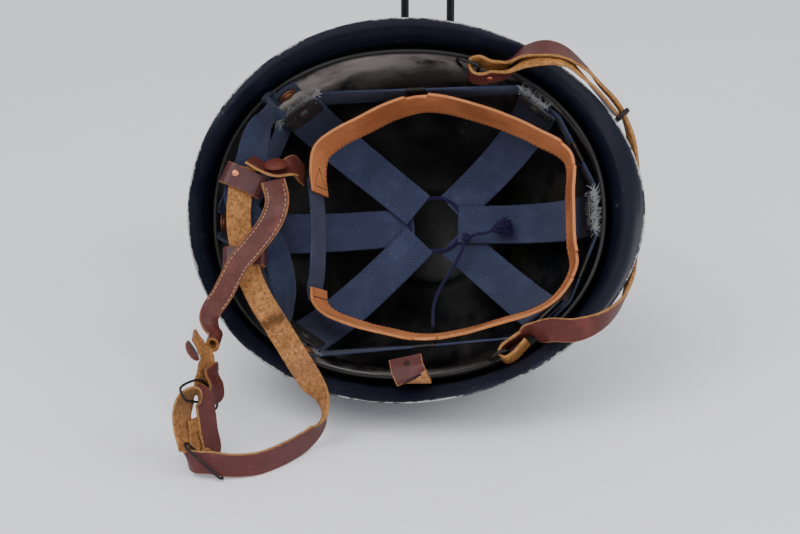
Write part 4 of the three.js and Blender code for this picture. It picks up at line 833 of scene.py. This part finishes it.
def outline_point(row, bearing):
    """A point of a bowl's outline at a bearing from the brow."""
    depth, brow, nape, side, square = row
    along, across = math.cos(bearing), math.sin(bearing)
    power = 2 / square
    x = math.copysign(abs(along) ** power, along) * (brow if along > 0 else nape)
    egg = EGG * max(0.0, 1 - depth / SHELL_CROWN)
    z = math.copysign(abs(across) ** power, across) * side * (1 - egg * along)
    return Vector((x, depth + rim_lift(x, depth), z))


def inner_rows(rows, crown, wall):
    """The rows of a bowl's inner face."""
    inner = []
    for i, row in enumerate(rows):
        before = rows[max(0, i - 1)]
        after = rows[i + 1] if i + 1 < len(rows) else (crown, 0, 0, 0, 2)
        step = Vector((after[0] - before[0], before[3] - after[3])).normalized()
        inset = wall * step.x
        depth = row[0] - (0 if i == 0 else wall * step.y)
        inner.append((depth, row[1] - inset, row[2] - inset, row[3] - inset, row[4]))
    return inner


def fine_rows(rows, crown):
    """More rows between, on a smooth profile that closes at the crown."""
    full = list(rows) + [(crown, 0.01, 0.01, 0.01, 2.0)]
    fine = []
    for i in range(len(full) - 2):
        spans = list(zip(full[max(i - 1, 0)], full[i], full[i + 1], full[i + 2]))
        for k in range(ROW_STEPS):
            t = k / ROW_STEPS
            row = []
            for a, b, c, d in spans:
                bend, turn = 2 * a - 5 * b + 4 * c - d, 3 * b - a - 3 * c + d
                row.append(0.5 * (2 * b + (c - a) * t + bend * t * t + turn * t ** 3))
            fine.append(tuple(row))
    last = full[-2]
    for k in range(ROW_STEPS * 2):
        t = math.sin((k / (ROW_STEPS * 2)) * math.pi / 2)
        close = math.sqrt(max(0, 1 - t * t))
        fine.append((last[0] + (crown - last[0]) * t, last[1] * close, last[2] * close, last[3] * close, 2.0))
    return fine


def bowl_piece(name, rows, crown, wall, material, node):
    """A bowl with its inner face, a rounded rim and a closed crown."""
    outer = fine_rows(rows, crown)
    inner = fine_rows(inner_rows(rows, crown, wall), crown - wall)
    lip = []
    for k in range(1, LIP_STEPS):
        angle = math.pi * k / LIP_STEPS
        share = (1 - math.cos(angle)) / 2
        depth, *reaches = (a * (1 - share) + b * share for a, b in zip(inner[0][:4], outer[0]))
        lip.append((depth - wall * 0.45 * math.sin(angle), *reaches, outer[0][4]))
    turns = [k * math.tau / BOWL_TURNS for k in range(BOWL_TURNS)]
    sections = [[outline_point(row, turn) for turn in turns] for row in inner[::-1] + lip + outer]
    middle = len(inner) + 2
    marks = [[(LAY_RADIUS * turn, 0.0, float(i > middle)) for turn in turns] for i in range(len(sections))]
    bm = new_mesh()
    rings = loft(bm, sections, marks, cap=False)
    across = bm.verts.layers.float["across"]
    for k in range(BOWL_TURNS):
        for way in (1, -1):
            reach = 0.0
            i = middle + way
            while 0 <= i < len(rings):
                reach += (rings[i][k].co - rings[i - way][k].co).length
                rings[i][k][across] = reach * way
                i += way
    for ring, depth in ((rings[0], crown - wall), (rings[-1], crown)):
        bmesh.ops.pointmerge(bm, verts=ring, merge_co=Vector((0, depth, 0)))
    return finish_piece(name, bm, HELMET, material, (node,), LAY_RADIUS * math.tau, hard=60)


bowl_piece("shell", SHELL_ROWS, SHELL_CROWN, SHELL_WALL, PAINT, "steel_shell")
bowl_piece("liner", LINER_ROWS, LINER_CROWN, LINER_WALL, FIBRE, "liner_bowl")

# ---- the liner's wall -----------------------------------------------------------------------------
LINER_INNER = inner_rows(LINER_ROWS, LINER_CROWN, LINER_WALL)


class Wall:
    """A spot on the liner's inner wall: the place, and the ways up, along and inward."""

    def __init__(self, bearing, depth):
        turn = math.radians(bearing)
        row, deeper, higher = self.row(depth), self.row(depth + 6), self.row(depth - 6)
        self.point = outline_point(row, turn)
        self.up = (outline_point(deeper, turn) - outline_point(higher, turn)).normalized()
        along = (outline_point(row, turn + 0.05) - outline_point(row, turn - 0.05)).normalized()
        self.along = (along - self.up * along.dot(self.up)).normalized()
        self.inward = self.along.cross(self.up).normalized()

    @staticmethod
    def row(depth):
        """The inner wall's row at a depth."""
        upper = next(i for i, row in enumerate(LINER_INNER) if row[0] > depth)
        a, b = LINER_INNER[max(0, upper - 1)], LINER_INNER[max(1, upper)]
        share = (depth - a[0]) / (b[0] - a[0])
        return (depth,) + tuple(a[j] + (b[j] - a[j]) * share for j in (1, 2, 3, 4))

    def inset(self, distance):
        """The place a distance in from the wall."""
        return self.point + self.inward * distance


# name, bearing from the brow and depth of each corner of the webbing
CORNERS = [("brow", 1, 45), ("brow_right", 48, 42), ("nape_right", 131, 68), ("nape", 182, 76),
           ("nape_left", 231, 64), ("brow_left", 317, 43)]
WALLS = [Wall(bearing, depth) for _, bearing, depth in CORNERS]
WEB_THICK, CORNER_CHORD, WALL_GAP, CORNER_AIR, LAYER_GAP = 1.4, 15.5, 0.9, 1.5, 0.4

# ---- perimeter webbing ----------------------------------------------------------------------------
perimeter = [
    (wall.inset(WALL_GAP + CORNER_AIR + WEB_THICK / 2) + wall.along * CORNER_CHORD * side, wall.up)
    for wall in WALLS for side in (-1, 1)
]


CORNER_TURN = 1.2                 # length over which the webbing turns at a corner


def perimeter_course():
    """Straight runs between the corners, with small rounded turns at each end of a corner's flat."""
    centres, sides = [], []
    for i, (point, up) in enumerate(perimeter):
        after, next_up = perimeter[(i + 1) % len(perimeter)]
        turn = CORNER_TURN / (after - point).length
        for share in (turn, 0.06, *(k / 14 for k in range(1, 14)), 0.94, 1 - turn):
            centres.append(point.lerp(after, share))
            sides.append(up.lerp(next_up, share).normalized())
    apart = [i for i, centre in enumerate(centres) if (centre - centres[i - 1]).length > 0.4]
    return Run([centres[i] for i in apart], [sides[i] for i in apart], loop=True)


strap_piece("perimeter_band", perimeter_course(), 20, WEB_THICK, HELMET, TWILL_WEB, "webbing",
            ("perimeter_webbing",), ragged=0.25)

# ---- crown bands ----------------------------------------------------------------------------------
RING_CENTRE, RING_RADIUS = Vector((4, 119, 5)), 18.0
BAND_INSET = WALL_GAP + CORNER_AIR + WEB_THICK * 1.5 + LAYER_GAP
PLATE_HEIGHT, PLATE_WIDTH = 21.0, 25.0
BAND_CROSSING = 2.3               # how far every other band passes under or over the ring of lace


def crown_course(index):
    """From a corner up along the wall, levelling out at the ring of lace."""
    wall = WALLS[index]
    foot = wall.inset(BAND_INSET + 0.6) + wall.up * (-PLATE_HEIGHT * 0.3)
    level = BAND_CROSSING if index % 2 else -BAND_CROSSING
    out = Vector((foot.x - RING_CENTRE.x, 0, foot.z - RING_CENTRE.z)).normalized()
    end = RING_CENTRE + out * (RING_RADIUS - 3) + Vector((0, level, 0))
    knee = foot + wall.up * (end.y - foot.y) * 0.62
    shoulder = end + out * math.hypot(foot.x - end.x, foot.z - end.z) * 0.6
    level_side = Vector((-out.z, 0, out.x))
    wall_side = wall.along * math.copysign(1, level_side.dot(wall.along))
    centres, sides = [], []
    for k in range(49):
        t = k / 48
        low = foot * (1 - t) ** 3 + knee * 3 * t * (1 - t) ** 2
        centres.append(low + shoulder * 3 * t * t * (1 - t) + end * t ** 3)
        sides.append(wall_side.lerp(level_side, t))
    return Run(centres, sides)


for index, (corner, _, _) in enumerate(CORNERS):
    strap_piece(f"band_{corner}", crown_course(index), 28, WEB_THICK, HELMET, TWILL_WEB, "webbing",
                (f"crown_band_{corner}",), taper=0.12, ragged=0.22, wave=0.25, seed=index * 3.7)


# ---- corner plates and rivets ---------------------------------------------------------------------
def frame_matrix(where, x_way, y_way, z_way):
    """The placing of a piece at a spot with its own three ways."""
    made = Matrix((x_way, y_way, z_way)).transposed().to_4x4()
    made.translation = where
    return made


def plate_outline():
    """The corner plate's D shape as points: two clipped corners and two round ones."""
    half, tall = PLATE_WIDTH / 2, PLATE_HEIGHT / 2
    clipped = [(-half, tall - 2), (-half + 0.6, tall - 0.6), (-half + 2, tall)]
    clipped += [(half - 2, tall), (half - 0.6, tall - 0.6), (half, tall - 2)]
    points = [Vector((x, y, 0)) for x, y in clipped]
    right = (half, 6 - tall), (half, -tall), (0, -tall)
    left = (0, -tall), (-half, -tall), (-half, 6 - tall)
    for corner in (right, left):
        a, b, c = (Vector((x, y, 0)) for x, y in corner)
        points += [a * (1 - t) ** 2 + b * 2 * t * (1 - t) + c * t * t for t in [k / 8 for k in range(8)]]
    return points


# share of the outline and height of each ring of a plate
PLATE_RINGS = [(0.955, -0.6), (1.0, -0.35), (1.0, 0.25), (0.965, 0.6), (0.9, 0.62), (0.84, 0.35), (0.5, 0.4)]
PLATE_RIVET = [
    (0, 0.1), (4.6, 0.1), (4.6, 0.75), (4.3, 0.95), (3.9, 0.8), (3.7, 1.0), (3.2, 1.6), (2.0, 2.0), (0, 2.1),
]
PLATE_AIR, PLATE_HALF, PLATE_DROP = 1.4, 0.6, 7


def plate_piece(name, wall, node):
    """A pressed plate with a rolled edge, a slightly raised middle and its rivet."""
    outline = plate_outline()
    sections = [[Vector((p.x * grow, p.y * grow, height)) for p in outline] for grow, height in PLATE_RINGS]
    marks = [[(p.x * grow, p.y * grow, 1.0) for p in outline] for grow, _ in PLATE_RINGS]
    bm = new_mesh()
    loft(bm, sections, marks)
    turned_skin(bm, PLATE_RIVET, Vector((0, 0, 0)), Vector((0, 0, 1)), 32)
    centre = wall.inset(BAND_INSET + WEB_THICK + PLATE_AIR + PLATE_HALF) + wall.up * -PLATE_DROP
    place = HELMET @ frame_matrix(centre, wall.up.cross(wall.inward), wall.up, wall.inward)
    return finish_piece(name, bm, place, PLATE_PAINT, (node,))


for (corner, _, _), wall in zip(CORNERS, WALLS):
    plate_piece(f"plate_{corner}", wall, f"corner_plate_{corner}")

# ---- lace -----------------------------------------------------------------------------------------
KNOT_SPOT = RING_CENTRE + Vector((20.5, -6.9, -9.5))
ring_points = [
    RING_CENTRE + Vector((math.cos(a) * RING_RADIUS, 0.35 * math.sin(a * 9), math.sin(a) * RING_RADIUS))
    for a in [k * math.tau / 96 for k in range(96)]
]
tube_piece("crown_ring", ring_points, 1.15, HELMET, LACE, ("crown_lace",), loop=True)


def knot_points():
    """An overhand knot pulled tight."""
    points = []
    for k in range(72):
        a = k * math.tau / 72
        reach = (1.0 + 0.45 * math.cos(3 * a)) * 1.45
        points.append(KNOT_SPOT + Vector((reach * math.cos(2 * a), math.sin(3 * a), reach * math.sin(2 * a))))
    return points


tube_piece("knot", knot_points(), 1.05, HELMET, LACE, ("lace_knot",), sides=10, loop=True)

long_tail = smooth_line([KNOT_SPOT + Vector(row) for row in LONG_TAIL], 72)
bm = new_mesh()
tail_length = tube_skin(bm, long_tail, 1.1)
tail = finish_piece("long_tail", bm, HELMET, LACE, ("lace_tail_long",))
short_tail = smooth_line([KNOT_SPOT + Vector(row) for row in TASSEL_TAIL], 28)
bm = new_mesh()
for turn in (0.0, 2.1, 4.2):
    angles = [turn + i * 0.2 for i in range(len(short_tail))]
    around = [Vector((0.2 * math.cos(a), 0.62 * math.sin(a), 0.62 * math.cos(a))) for a in angles]
    tube_skin(bm, [point + offset for point, offset in zip(short_tail, around)], 0.6, 8)
finish_piece("short_tail", bm, HELMET, LACE, ("lace_tail_short",))


def tassel_piece():
    """The lace's frayed end: a bound waist and many loose strands that spread."""
    draw = random.Random(4)
    root = KNOT_SPOT + Vector((17.9, -9.3, 3.2))
    turn = Matrix.Rotation(math.radians(-14), 3, "Y")
    bm = new_mesh()
    for _ in range(90):
        angle, reach = draw.uniform(0, math.tau), math.sqrt(draw.uniform(0.02, 1))
        length = draw.uniform(9.0, 13.8)
        twist = draw.uniform(-0.5, 0.5)
        points = []
        for step in range(7):
            t = step / 6
            wide = reach * (1.0 + 5.4 * t ** 0.9)
            a = angle + twist * t + 0.25 * math.sin(t * 5 + angle)
            points.append(root + turn @ Vector((length * t, wide * math.cos(a), wide * math.sin(a))))
        tube_skin(bm, points, 0.45, 5, taper=lambda t: 1 - 0.3 * t)
    return finish_piece("tassel", bm, HELMET, LACE, ("lace_tassel",))


tassel_piece()

# ---- head band ------------------------------------------------------------------------------------
# Rim-side edge seen down the helmet's axis, from one rear end round the brow; a name marks a clip.
BAND_EDGE = [
    (-69.6, 19), (-71, 34), (-67.5, 49), (-40, 65.5), (-1, "right"), (40, 69.5), (76, 53), (92, "brow_right"),
    (97.5, 12), (98, -16), (92, "brow_left"), (84, -56), (52, -68), (14, "left"), (-24, -73), (-60, -61),
    (-69, -52), (-70.4, -43),
]
CLIP_SIDES = {"right": 1, "brow_right": 0, "brow_left": 5, "left": 4}
BAND_WIDE, BAND_THICK, BAND_LEAN = 33.0, 1.8, math.tan(math.radians(9))
SLOT, CLIP_WALL, CLIP_LEGS, CLIP_LONG, CLIP_SEAT = 2.0, 0.6, 9.0, 13.0, 10.35
NOTCH_LONG, NOTCH_DEEP = 13.6, 4.0


def clip_site(name):
    """Where a clip sits: the spot on the perimeter webbing and the ways along, up and inward."""
    side = CLIP_SIDES[name]
    (start, up_start), (end, up_end) = perimeter[side * 2 + 1], perimeter[(side * 2 + 2) % len(perimeter)]
    run = (end - start).normalized()
    up = up_start.lerp(up_end, 0.5)
    up = (up - run * up.dot(run)).normalized()
    return start.lerp(end, 0.5), run, up, run.cross(up).normalized()


def band_run(steps):
    """The head band's course, from its rim-side edge up its leaning width."""
    rows = []
    for x, z in BAND_EDGE:
        if isinstance(z, str):
            spot, _, _, inward = clip_site(z)
            point = spot + inward * (SLOT / 2 + CLIP_WALL + 0.35 + BAND_THICK / 2)
            x, z = point.x, point.z
        rows.append(Vector((x, 41 - 0.13 * x, z)))
    line = smooth_line(rows, steps)
    centres, sides = [], []
    for i, edge in enumerate(line):
        tangent = line[min(i + 1, steps)] - line[max(i - 1, 0)]
        inward = Vector((tangent.z, 0, -tangent.x)).normalized()
        if inward.dot(Vector((edge.x - 15, 0, edge.z))) > 0:
            inward.negate()
        across = Vector((inward.x * BAND_LEAN, 1, inward.z * BAND_LEAN)).normalized()
        centres.append(edge + across * BAND_WIDE / 2)
        sides.append(-across)
    return Run(centres, sides)


band = band_run(330)
notches = []
for name in CLIP_SIDES:
    spot = clip_site(name)[0]
    away = [(centre.x - spot.x) ** 2 + (centre.z - spot.z) ** 2 for centre in band.centres]
    notches.append(away.index(min(away)))


def band_edge(length, across):
    """Cuts the notches for the clips, and one torn place near the brow."""
    for i in notches:
        if abs(length - band.length[i]) < NOTCH_LONG / 2:
            return min(across, BAND_WIDE / 2 - NOTCH_DEEP)
    tear = 1.1 * max(0.0, 1 - abs(length - band.length[notches[1]] - 15) / 4)
    return min(across, BAND_WIDE / 2 - tear)


strap_piece("head_band", band, BAND_WIDE, BAND_THICK, HELMET, BAND_LEATHER, "head_band_leather",
            ("head_band",), ragged=0.5, wave=0.3, notch=band_edge)


def stitch_skin(bm, run, start, end, across, out, step, long, radius):
    """A row of stitches on a strap, each a short thread sunk into the surface at both ends."""
    place = start
    while place + long < end:
        points = []
        for share in (0.0, 0.25, 0.5, 0.75, 1.0):
            sink = out - radius * (1.1 if share in (0.0, 1.0) else 0.1)
            points.append(run.at(place + long * share, across, sink)[0])
        tube_skin(bm, points, radius, 6)
        place += step


face = BAND_THICK / 2
bm = new_mesh()
for out in (face, -face + 0.2):
    stitch_skin(bm, band, 3, band.total - 3, -14.2, out, step=3.2, long=2.2, radius=0.28)
finish_piece("band_seam", bm, HELMET, DARK_THREAD)


def band_marks():
    """Stitching at the band's two rear ends: a triangle at one and a line at the other."""
    corners = [(4, 12.5), (4, -12.5), (17, 0), (4, 12.5)]
    bm = new_mesh()
    for (run_a, side_a), (run_b, side_b) in zip(corners, corners[1:]):
        count = max(4, int(math.hypot(run_b - run_a, side_b - side_a) / 1.7))
        for k in range(count):
            points = []
            for part, sink in ((0.08, 0.15), (0.5, -0.12), (0.86, 0.15)):
                share = (k + part) / count
                length, side = run_a + (run_b - run_a) * share, side_a + (side_b - side_a) * share
                points.append(band.at(length, side, face - sink)[0])
            tube_skin(bm, points, 0.3, 6)
    finish_piece("band_triangle", bm, HELMET, DARK_THREAD)
    bm = new_mesh()
    for k in range(15):
        points = []
        for part, sink in ((0.2, 0.2), (0.8, -0.15), (1.4, 0.2)):
            points.append(band.at(band.total - 6, -13 + 1.75 * k + part, face - sink)[0])
        tube_skin(bm, points, 0.34, 6)
    finish_piece("band_line", bm, HELMET, DARK_THREAD)


band_marks()
strap_piece("rear_web", run_of(REAR_WEB, 60), BAND_WIDE - 3, WEB_THICK, HELMET, TWILL_WEB, "webbing",
            ("head_band_rear_web",), ragged=0.2)


def clip_piece(name):
    """A spring clip folded over both layers, with two straight legs and a round fold."""
    spot, run, up, inward = clip_site(name)
    half = SLOT / 2
    wide = half + CLIP_WALL
    turn = [math.radians(k) for k in range(180, 361, 20)]
    outer = [(math.cos(a) * wide, half + math.sin(a) * wide - 0.4) for a in turn]
    inner = [(math.cos(a) * half, half + math.sin(a) * half - 0.2) for a in reversed(turn)]
    outline = [(-wide, CLIP_LEGS), *outer, (wide, CLIP_LEGS), (half, CLIP_LEGS), *inner, (-half, CLIP_LEGS)]
    sections, marks = [], []
    for share, shrink in ((-0.5, 0.35), (-0.48, 0.0), (-0.2, 0.0), (0.2, 0.0), (0.48, 0.0), (0.5, 0.35)):
        ring = []
        for x, y in outline:
            y = y - shrink if y > CLIP_LEGS - 1 else y
            ring.append(spot - up * (CLIP_SEAT - y) + inward * x + run * (share * CLIP_LONG))
        sections.append(ring)
        marks.append([(share * CLIP_LONG, y, 1.0) for _, y in outline])
    bm = new_mesh()
    loft(bm, sections, marks)
    return finish_piece(f"clip_{name}", bm, HELMET, DARK_METAL,
                        (f"head_band_clip_{name}",), hard=50)


for name in CLIP_SIDES:
    clip_piece(name)

# ---- nape webbing and its anchors -----------------------------------------------------------------
# the spot of each anchor on the liner, and the air under its washer
ANCHORS = {"upper": (Wall(131, 25), 1.2), "lower": (Wall(237, 27), 0.7), "rear": (Wall(182, 22), 0.35)}
WEB_LIFT = 2.3
WASHER = [
    (0, 0), (5.7, 0), (6, 0.25), (5.9, 0.7), (5.2, 1.0), (4.3, 0.85), (3.85, 1.0), (3.6, 1.7), (2.6, 2.2),
    (1.2, 2.42), (0, 2.45),
]


def web_row(wall, along, lift):
    """A row of a strap's course that lies on the liner's wall."""
    point = wall.inset(WEB_LIFT + lift) + wall.along * along
    return tuple(point) + tuple(wall.up)


def anchor_piece(name):
    """A dished washer with its rivet."""
    wall, gap = ANCHORS[name]
    where = wall.inset(WEB_LIFT + WEB_THICK / 2 + gap)
    bm = new_mesh()
    turned_skin(bm, WASHER, where, wall.inward)
    return finish_piece(f"anchor_{name}", bm, HELMET, RUSTY, (f"nape_anchor_{name}",))


for name in ANCHORS:
    anchor_piece(name)
upper, lower, rear = (ANCHORS[name][0] for name in ("upper", "lower", "rear"))
nape_rows = [web_row(upper, -9, 0.7), web_row(upper, 0, 0), web_row(upper, 9, 1.5), *NAPE_WEB,
             web_row(lower, -8, 0.9), web_row(lower, -2, 0), web_row(lower, 8, 0.7)]
nape = run_of(nape_rows, 240)
strap_piece("nape_web", nape, 18, WEB_THICK, HELMET, BLUE_WEB, "webbing", ("nape_webbing",), ragged=0.25)
for name, share, ending in (("upper", -6, TAB_UPPER), ("lower", 6, TAB_LOWER)):
    rows = [web_row(rear, share, 0), web_row(rear, share * 1.6, 1), *ending]
    strap_piece(f"tab_{name}", run_of(rows, 50), 12, WEB_THICK, HELMET, BLUE_WEB, "webbing",
                (f"nape_tab_{name}",), ragged=0.3)

# ---- leather --------------------------------------------------------------------------------------
LEATHER_THICK = 2
chin = run_of(CHIN_STRAP, 420)
branch = run_of(BRANCH_STRAP, 120)
roll = run_of(BRANCH_ROLL, 40, loop=True)
tab = run_of(SIDE_TAB, 60)


def leather_piece(name, run, width, place, material, node, **shape):
    """A leather strap as a piece."""
    strap_piece(name, run, width, LEATHER_THICK, place, material, "strap_leather", (node,), **shape)


leather_piece("chin", chin, 15, FLOOR, CHIN_LEATHER, "chin_strap", ragged=0.16, wave=0.3, turned=0)
bm = new_mesh()
strap_skin(bm, branch, 15, LEATHER_THICK, taper=0.22, ragged=0.1, dome=0.25)
strap_skin(bm, roll, 11.7, LEATHER_THICK, dome=0.2)
finish_piece("branch", bm, FLOOR, BRANCH_LEATHER, ("branch_strap",))
leather_piece("link", run_of(LINK_STRAP, 130), 13, FLOOR, BRANCH_LEATHER, "link_strap", ragged=0.1, turned=0)
leather_piece("joint", run_of(STRAP_JOINT, 90), 14, HELMET, BROW_LEATHER, "strap_joint", ragged=0.14)
leather_piece("brow_strap", run_of(BROW_STRAP, 420), 14.6, HELMET, BROW_LEATHER, "brow_strap",
              ragged=0.16, wave=0.3)
leather_piece("side_tab", tab, 20, HELMET, TAB_LEATHER, "side_tab", ragged=0.16, turned=38)


def tab_fittings():
    """The side tab's eyelet, and a dark rod sunk near its fold that stands for the slot's opening as painted
    shade.
    """
    where, up = tab.at(47.5, 0.5, -1.0)
    eyelet = [(0.7, 0.15), (0.75, 0.5), (1.2, 0.62), (1.7, 0.35), (1.8, 0.0), (0.7, 0.0)]
    bm = new_mesh()
    turned_skin(bm, eyelet, where, -up, 28)
    finish_piece("tab_eyelet", bm, HELMET, DARK_METAL)
    # Painted shade: a dark rod sunk into the tab where the slot's opening looks dark.
    points = [tab.at(37.5, across, -0.75)[0] for across in (-6.5, -6, -3, 0, 3, 6, 6.5)]
    tube_piece("tab_slot_shade", points, 0.9, HELMET, DARK_THREAD,
               taper=lambda t: 1 if 0.1 < t < 0.9 else 0.3)


tab_fittings()


def square_ways(across, along):
    """Unit ways across, along and out, made square to each other."""
    along = Vector(along).normalized()
    across = Vector(across)
    across = (across - along * along.dot(across)).normalized()
    return across, along, across.cross(along)


HALF_TURN = 14                    # steps round each end of a closed band


def ring_run(site, wide, deep, thick):
    """A closed band's course round what it holds: flat long sides and round ends."""
    centre, across, along = site
    across, along, out = square_ways(across, along)
    radius = (deep - thick) / 2
    half = (wide - thick) / 2 - radius
    centres = []
    for end in (1, -1):
        for k in range(HALF_TURN + 1):
            angle = -math.pi / 2 + k * math.pi / HALF_TURN
            sideways = across * end * (half + radius * math.cos(angle))
            centres.append(Vector(centre) + sideways + out * end * radius * math.sin(angle))
        last = centres[-1]
        step = across * -end * 2 * half
        centres += [last + step * share for share in (0.12, 0.3, 0.5, 0.7, 0.88)]
    return Run(centres, [-along] * len(centres), loop=True)


# the middle of each closed band, its way across and the way of what passes through it
UPPER_KEEPER = (-104.4, 18.4, 142.5), (0.85, -0.2, -0.5), (0.4, 0.42, 0.8)
LOWER_KEEPER = (-102.8, -11.7, 103.6), (1, -0.03, -0.02), (0, 0.6, 0.8)
CHIN_SLIDE = (-122.8, -104.2, 12.7), (0.68, 0, -0.73), (0.73, 0, 0.68)
BROW_SLIDE = (127.7, 16.9, 58.2), (-0.1, 0.99, 0.1), (0.64, 0.1, -0.73)
for name, site, wide, deep, long in (("keeper_upper", UPPER_KEEPER, 27.6, 10.4, 14),
                                     ("keeper_lower", LOWER_KEEPER, 27, 8, 12)):
    strap_piece(name, ring_run(site, wide, deep, LEATHER_THICK), long, LEATHER_THICK, FLOOR, KEEPER_LEATHER,
                "keeper_leather", (name,), ragged=0.12)
for name, site, wide, deep, long, thick, place in (("chin_slide", CHIN_SLIDE, 32, 7, 1.6, 1.1, FLOOR),
                                                   ("brow_slide", BROW_SLIDE, 22.6, 10.1, 3, 1, HELMET)):
    strap_piece(name, ring_run(site, wide, deep, thick), long, thick, place, DARK_METAL,
                "dark_metal", (name,))
for name, rows, radius, place in (("wire_ring", WIRE_RING, 0.75, FLOOR),
                                  ("brow_loop_right", BROW_LOOP_RIGHT, 1.1, HELMET),
                                  ("brow_loop_left", BROW_LOOP_LEFT, 1.1, HELMET)):
    line = smooth_line([Vector(row) for row in rows], 90, True)
    tube_piece(name, line, radius, place, DARK_METAL, (name,), loop=True)


def rivet_piece(name, spot, facing, radius, rise, place, material):
    """A domed rivet standing on a spot."""
    bm = new_mesh()
    turned_skin(bm, dome_profile(radius, rise), Vector(spot), Vector(facing).normalized())
    return finish_piece(name, bm, place, material, (name,))


rivet_piece("joint_rivet", (-84, -6, 26.8), (0, -0.5, 0.85), 7.2, 4, HELMET, LEATHER_DOME)
rivet_piece("link_rivet", (-129.8, -69.9, 68.3), (-0.87, -0.14, -0.48), 6.8, 4, FLOOR, LEATHER_DOME)
rivet_piece("brow_rivet_right", (47, 8.4, 81.4), (0, -0.25, -0.97), 2.2, 1, HELMET, COPPER)
side, way, facing = square_ways(*UPPER_KEEPER[1:])
spot = Vector(UPPER_KEEPER[0]) + side * -6 + way * 1.5 + facing * 5.5
rivet_piece("keeper_rivet", spot, facing, 2.2, 1, FLOOR, COPPER)
bm = new_mesh()
for side in (1, -1):
    stitch_skin(bm, branch, 4, branch.total * 0.86, side * 5.2, 1.15, step=2.9, long=1.9, radius=0.3)
finish_piece("branch_stitches", bm, FLOOR, PALE_THREAD)

# ---- frayed threads -------------------------------------------------------------------------------
FRAY_RADIUS, FRAY_STEPS, FRAY_SPREAD = 0.17, 8, 0.85
EDGE_DROP = 10                    # from the middle of the webbing to its rim-side edge


def stray_way(draw):
    """A way of no particular direction."""
    return Vector([draw.uniform(-1, 1) for _ in range(3)])


def fray_skin(bm, spots, length, draw):
    """Loose threads: each starts at a spot, leaves it one way and wanders."""
    for place, way in spots:
        way = way.normalized()
        points = [place]
        bend = stray_way(draw) * FRAY_SPREAD * 0.5
        reach = length * draw.uniform(0.35, 1.0)
        for _ in range(FRAY_STEPS):
            way = (way + bend + stray_way(draw) * FRAY_SPREAD * 0.5).normalized()
            place = place + way * reach / FRAY_STEPS
            points.append(place)
        tube_skin(bm, points, FRAY_RADIUS, 4, taper=lambda t: 1 - 0.4 * t)


def corner_fray(index, count, start, end, length, seed):
    """White threads worn out of the webbing's rim-side edge at a corner, between it and the liner."""
    draw = random.Random(seed)
    wall = WALLS[index]
    spots = []
    for _ in range(count):
        along = draw.uniform(start, end)
        depth = -EDGE_DROP + draw.uniform(-0.5, 0.4)
        inset = WALL_GAP + CORNER_AIR + WEB_THICK * draw.uniform(0.2, 1.3)
        where = wall.inset(inset) + wall.along * along + wall.up * depth
        way = wall.inward * draw.uniform(0.0, 1.3) - wall.up + wall.along * draw.uniform(-0.7, 0.7)
        spots.append((where, way))
    bm = new_mesh()
    fray_skin(bm, spots, length, draw)
    finish_piece(f"fray_{CORNERS[index][0]}", bm, HELMET, WHITE_THREAD)


corner_fray(2, 260, -17, 17, 7.0, 2)
corner_fray(1, 170, -6, 15, 6.0, 3)
corner_fray(0, 240, -12, 13, 7.5, 4)
corner_fray(4, 210, -17, 14, 6.5, 5)

# ---- stand ----------------------------------------------------------------------------------------
WIRE, BEND = 2.7, 12.0
FOOT_LEFT, POST_LEFT, POST_RIGHT, FOOT_RIGHT = -58, -4.5, 26, 78
FOOT_FRONT, FOOT_BACK, STAND_TOP = 46, 160.9, 246


def bent_line(corners, bend):
    """Corner points joined with one bend radius."""
    points = [corners[0]]
    for before, corner, after in zip(corners, corners[1:], corners[2:]):
        start = corner + (before - corner).normalized() * bend
        end = corner + (after - corner).normalized() * bend
        points += [start.lerp(corner, t).lerp(corner.lerp(end, t), t) for t in [k / 10 for k in range(11)]]
    return points + [corners[-1]]


stand = [
    (FOOT_LEFT, FOOT_FRONT, WIRE), (FOOT_LEFT, FOOT_BACK, WIRE), (POST_LEFT, FOOT_BACK, WIRE),
    (POST_LEFT, FOOT_BACK, STAND_TOP), (POST_RIGHT, FOOT_BACK, STAND_TOP), (POST_RIGHT, FOOT_BACK, WIRE),
    (FOOT_RIGHT, FOOT_BACK, WIRE), (FOOT_RIGHT, FOOT_FRONT, WIRE),
]
wire = bent_line([Vector(corner) for corner in stand], BEND)
tube_piece("stand", wire, WIRE, FLOOR, WIRE_PAINT, ("wire_stand",), sides=16)

# ---- floor and light ------------------------------------------------------------------------------
bpy.ops.mesh.primitive_plane_add(size=12, location=(0, 0, 0))
floor = bpy.context.object
floor.name = "floor"
floor.data.materials.append(cloth_floor_finish())
world = bpy.data.worlds.new("studio")
bpy.context.scene.world = world
world.use_nodes = True
sky = world.node_tree.nodes["Background"]
sky.inputs["Color"].default_value = (0.92, 0.95, 1.0, 1)
sky.inputs["Strength"].default_value = 0.72
LIT_SPOT = Vector((0, 0, 0.12))
# name, place, width in metres and power in watts
LAMPS = [
    ("key", (-0.6, -0.95, 1.5), 1.2, 22), ("front", (0.1, -1.5, 0.9), 1.0, 6),
    ("back", (0.3, 1.4, 1.3), 1.2, 6), ("fill", (1.2, -0.9, 0.8), 1.0, 11),
]
for name, where, size, power in LAMPS:
    lamp = bpy.data.lights.new(name, "AREA")
    lamp.size = size
    lamp.energy = power
    light = bpy.data.objects.new(name, lamp)
    light.location = where
    light.rotation_euler = (Vector(where) - LIT_SPOT).to_track_quat("Z", "Y").to_euler()
    bpy.context.scene.collection.objects.link(light)
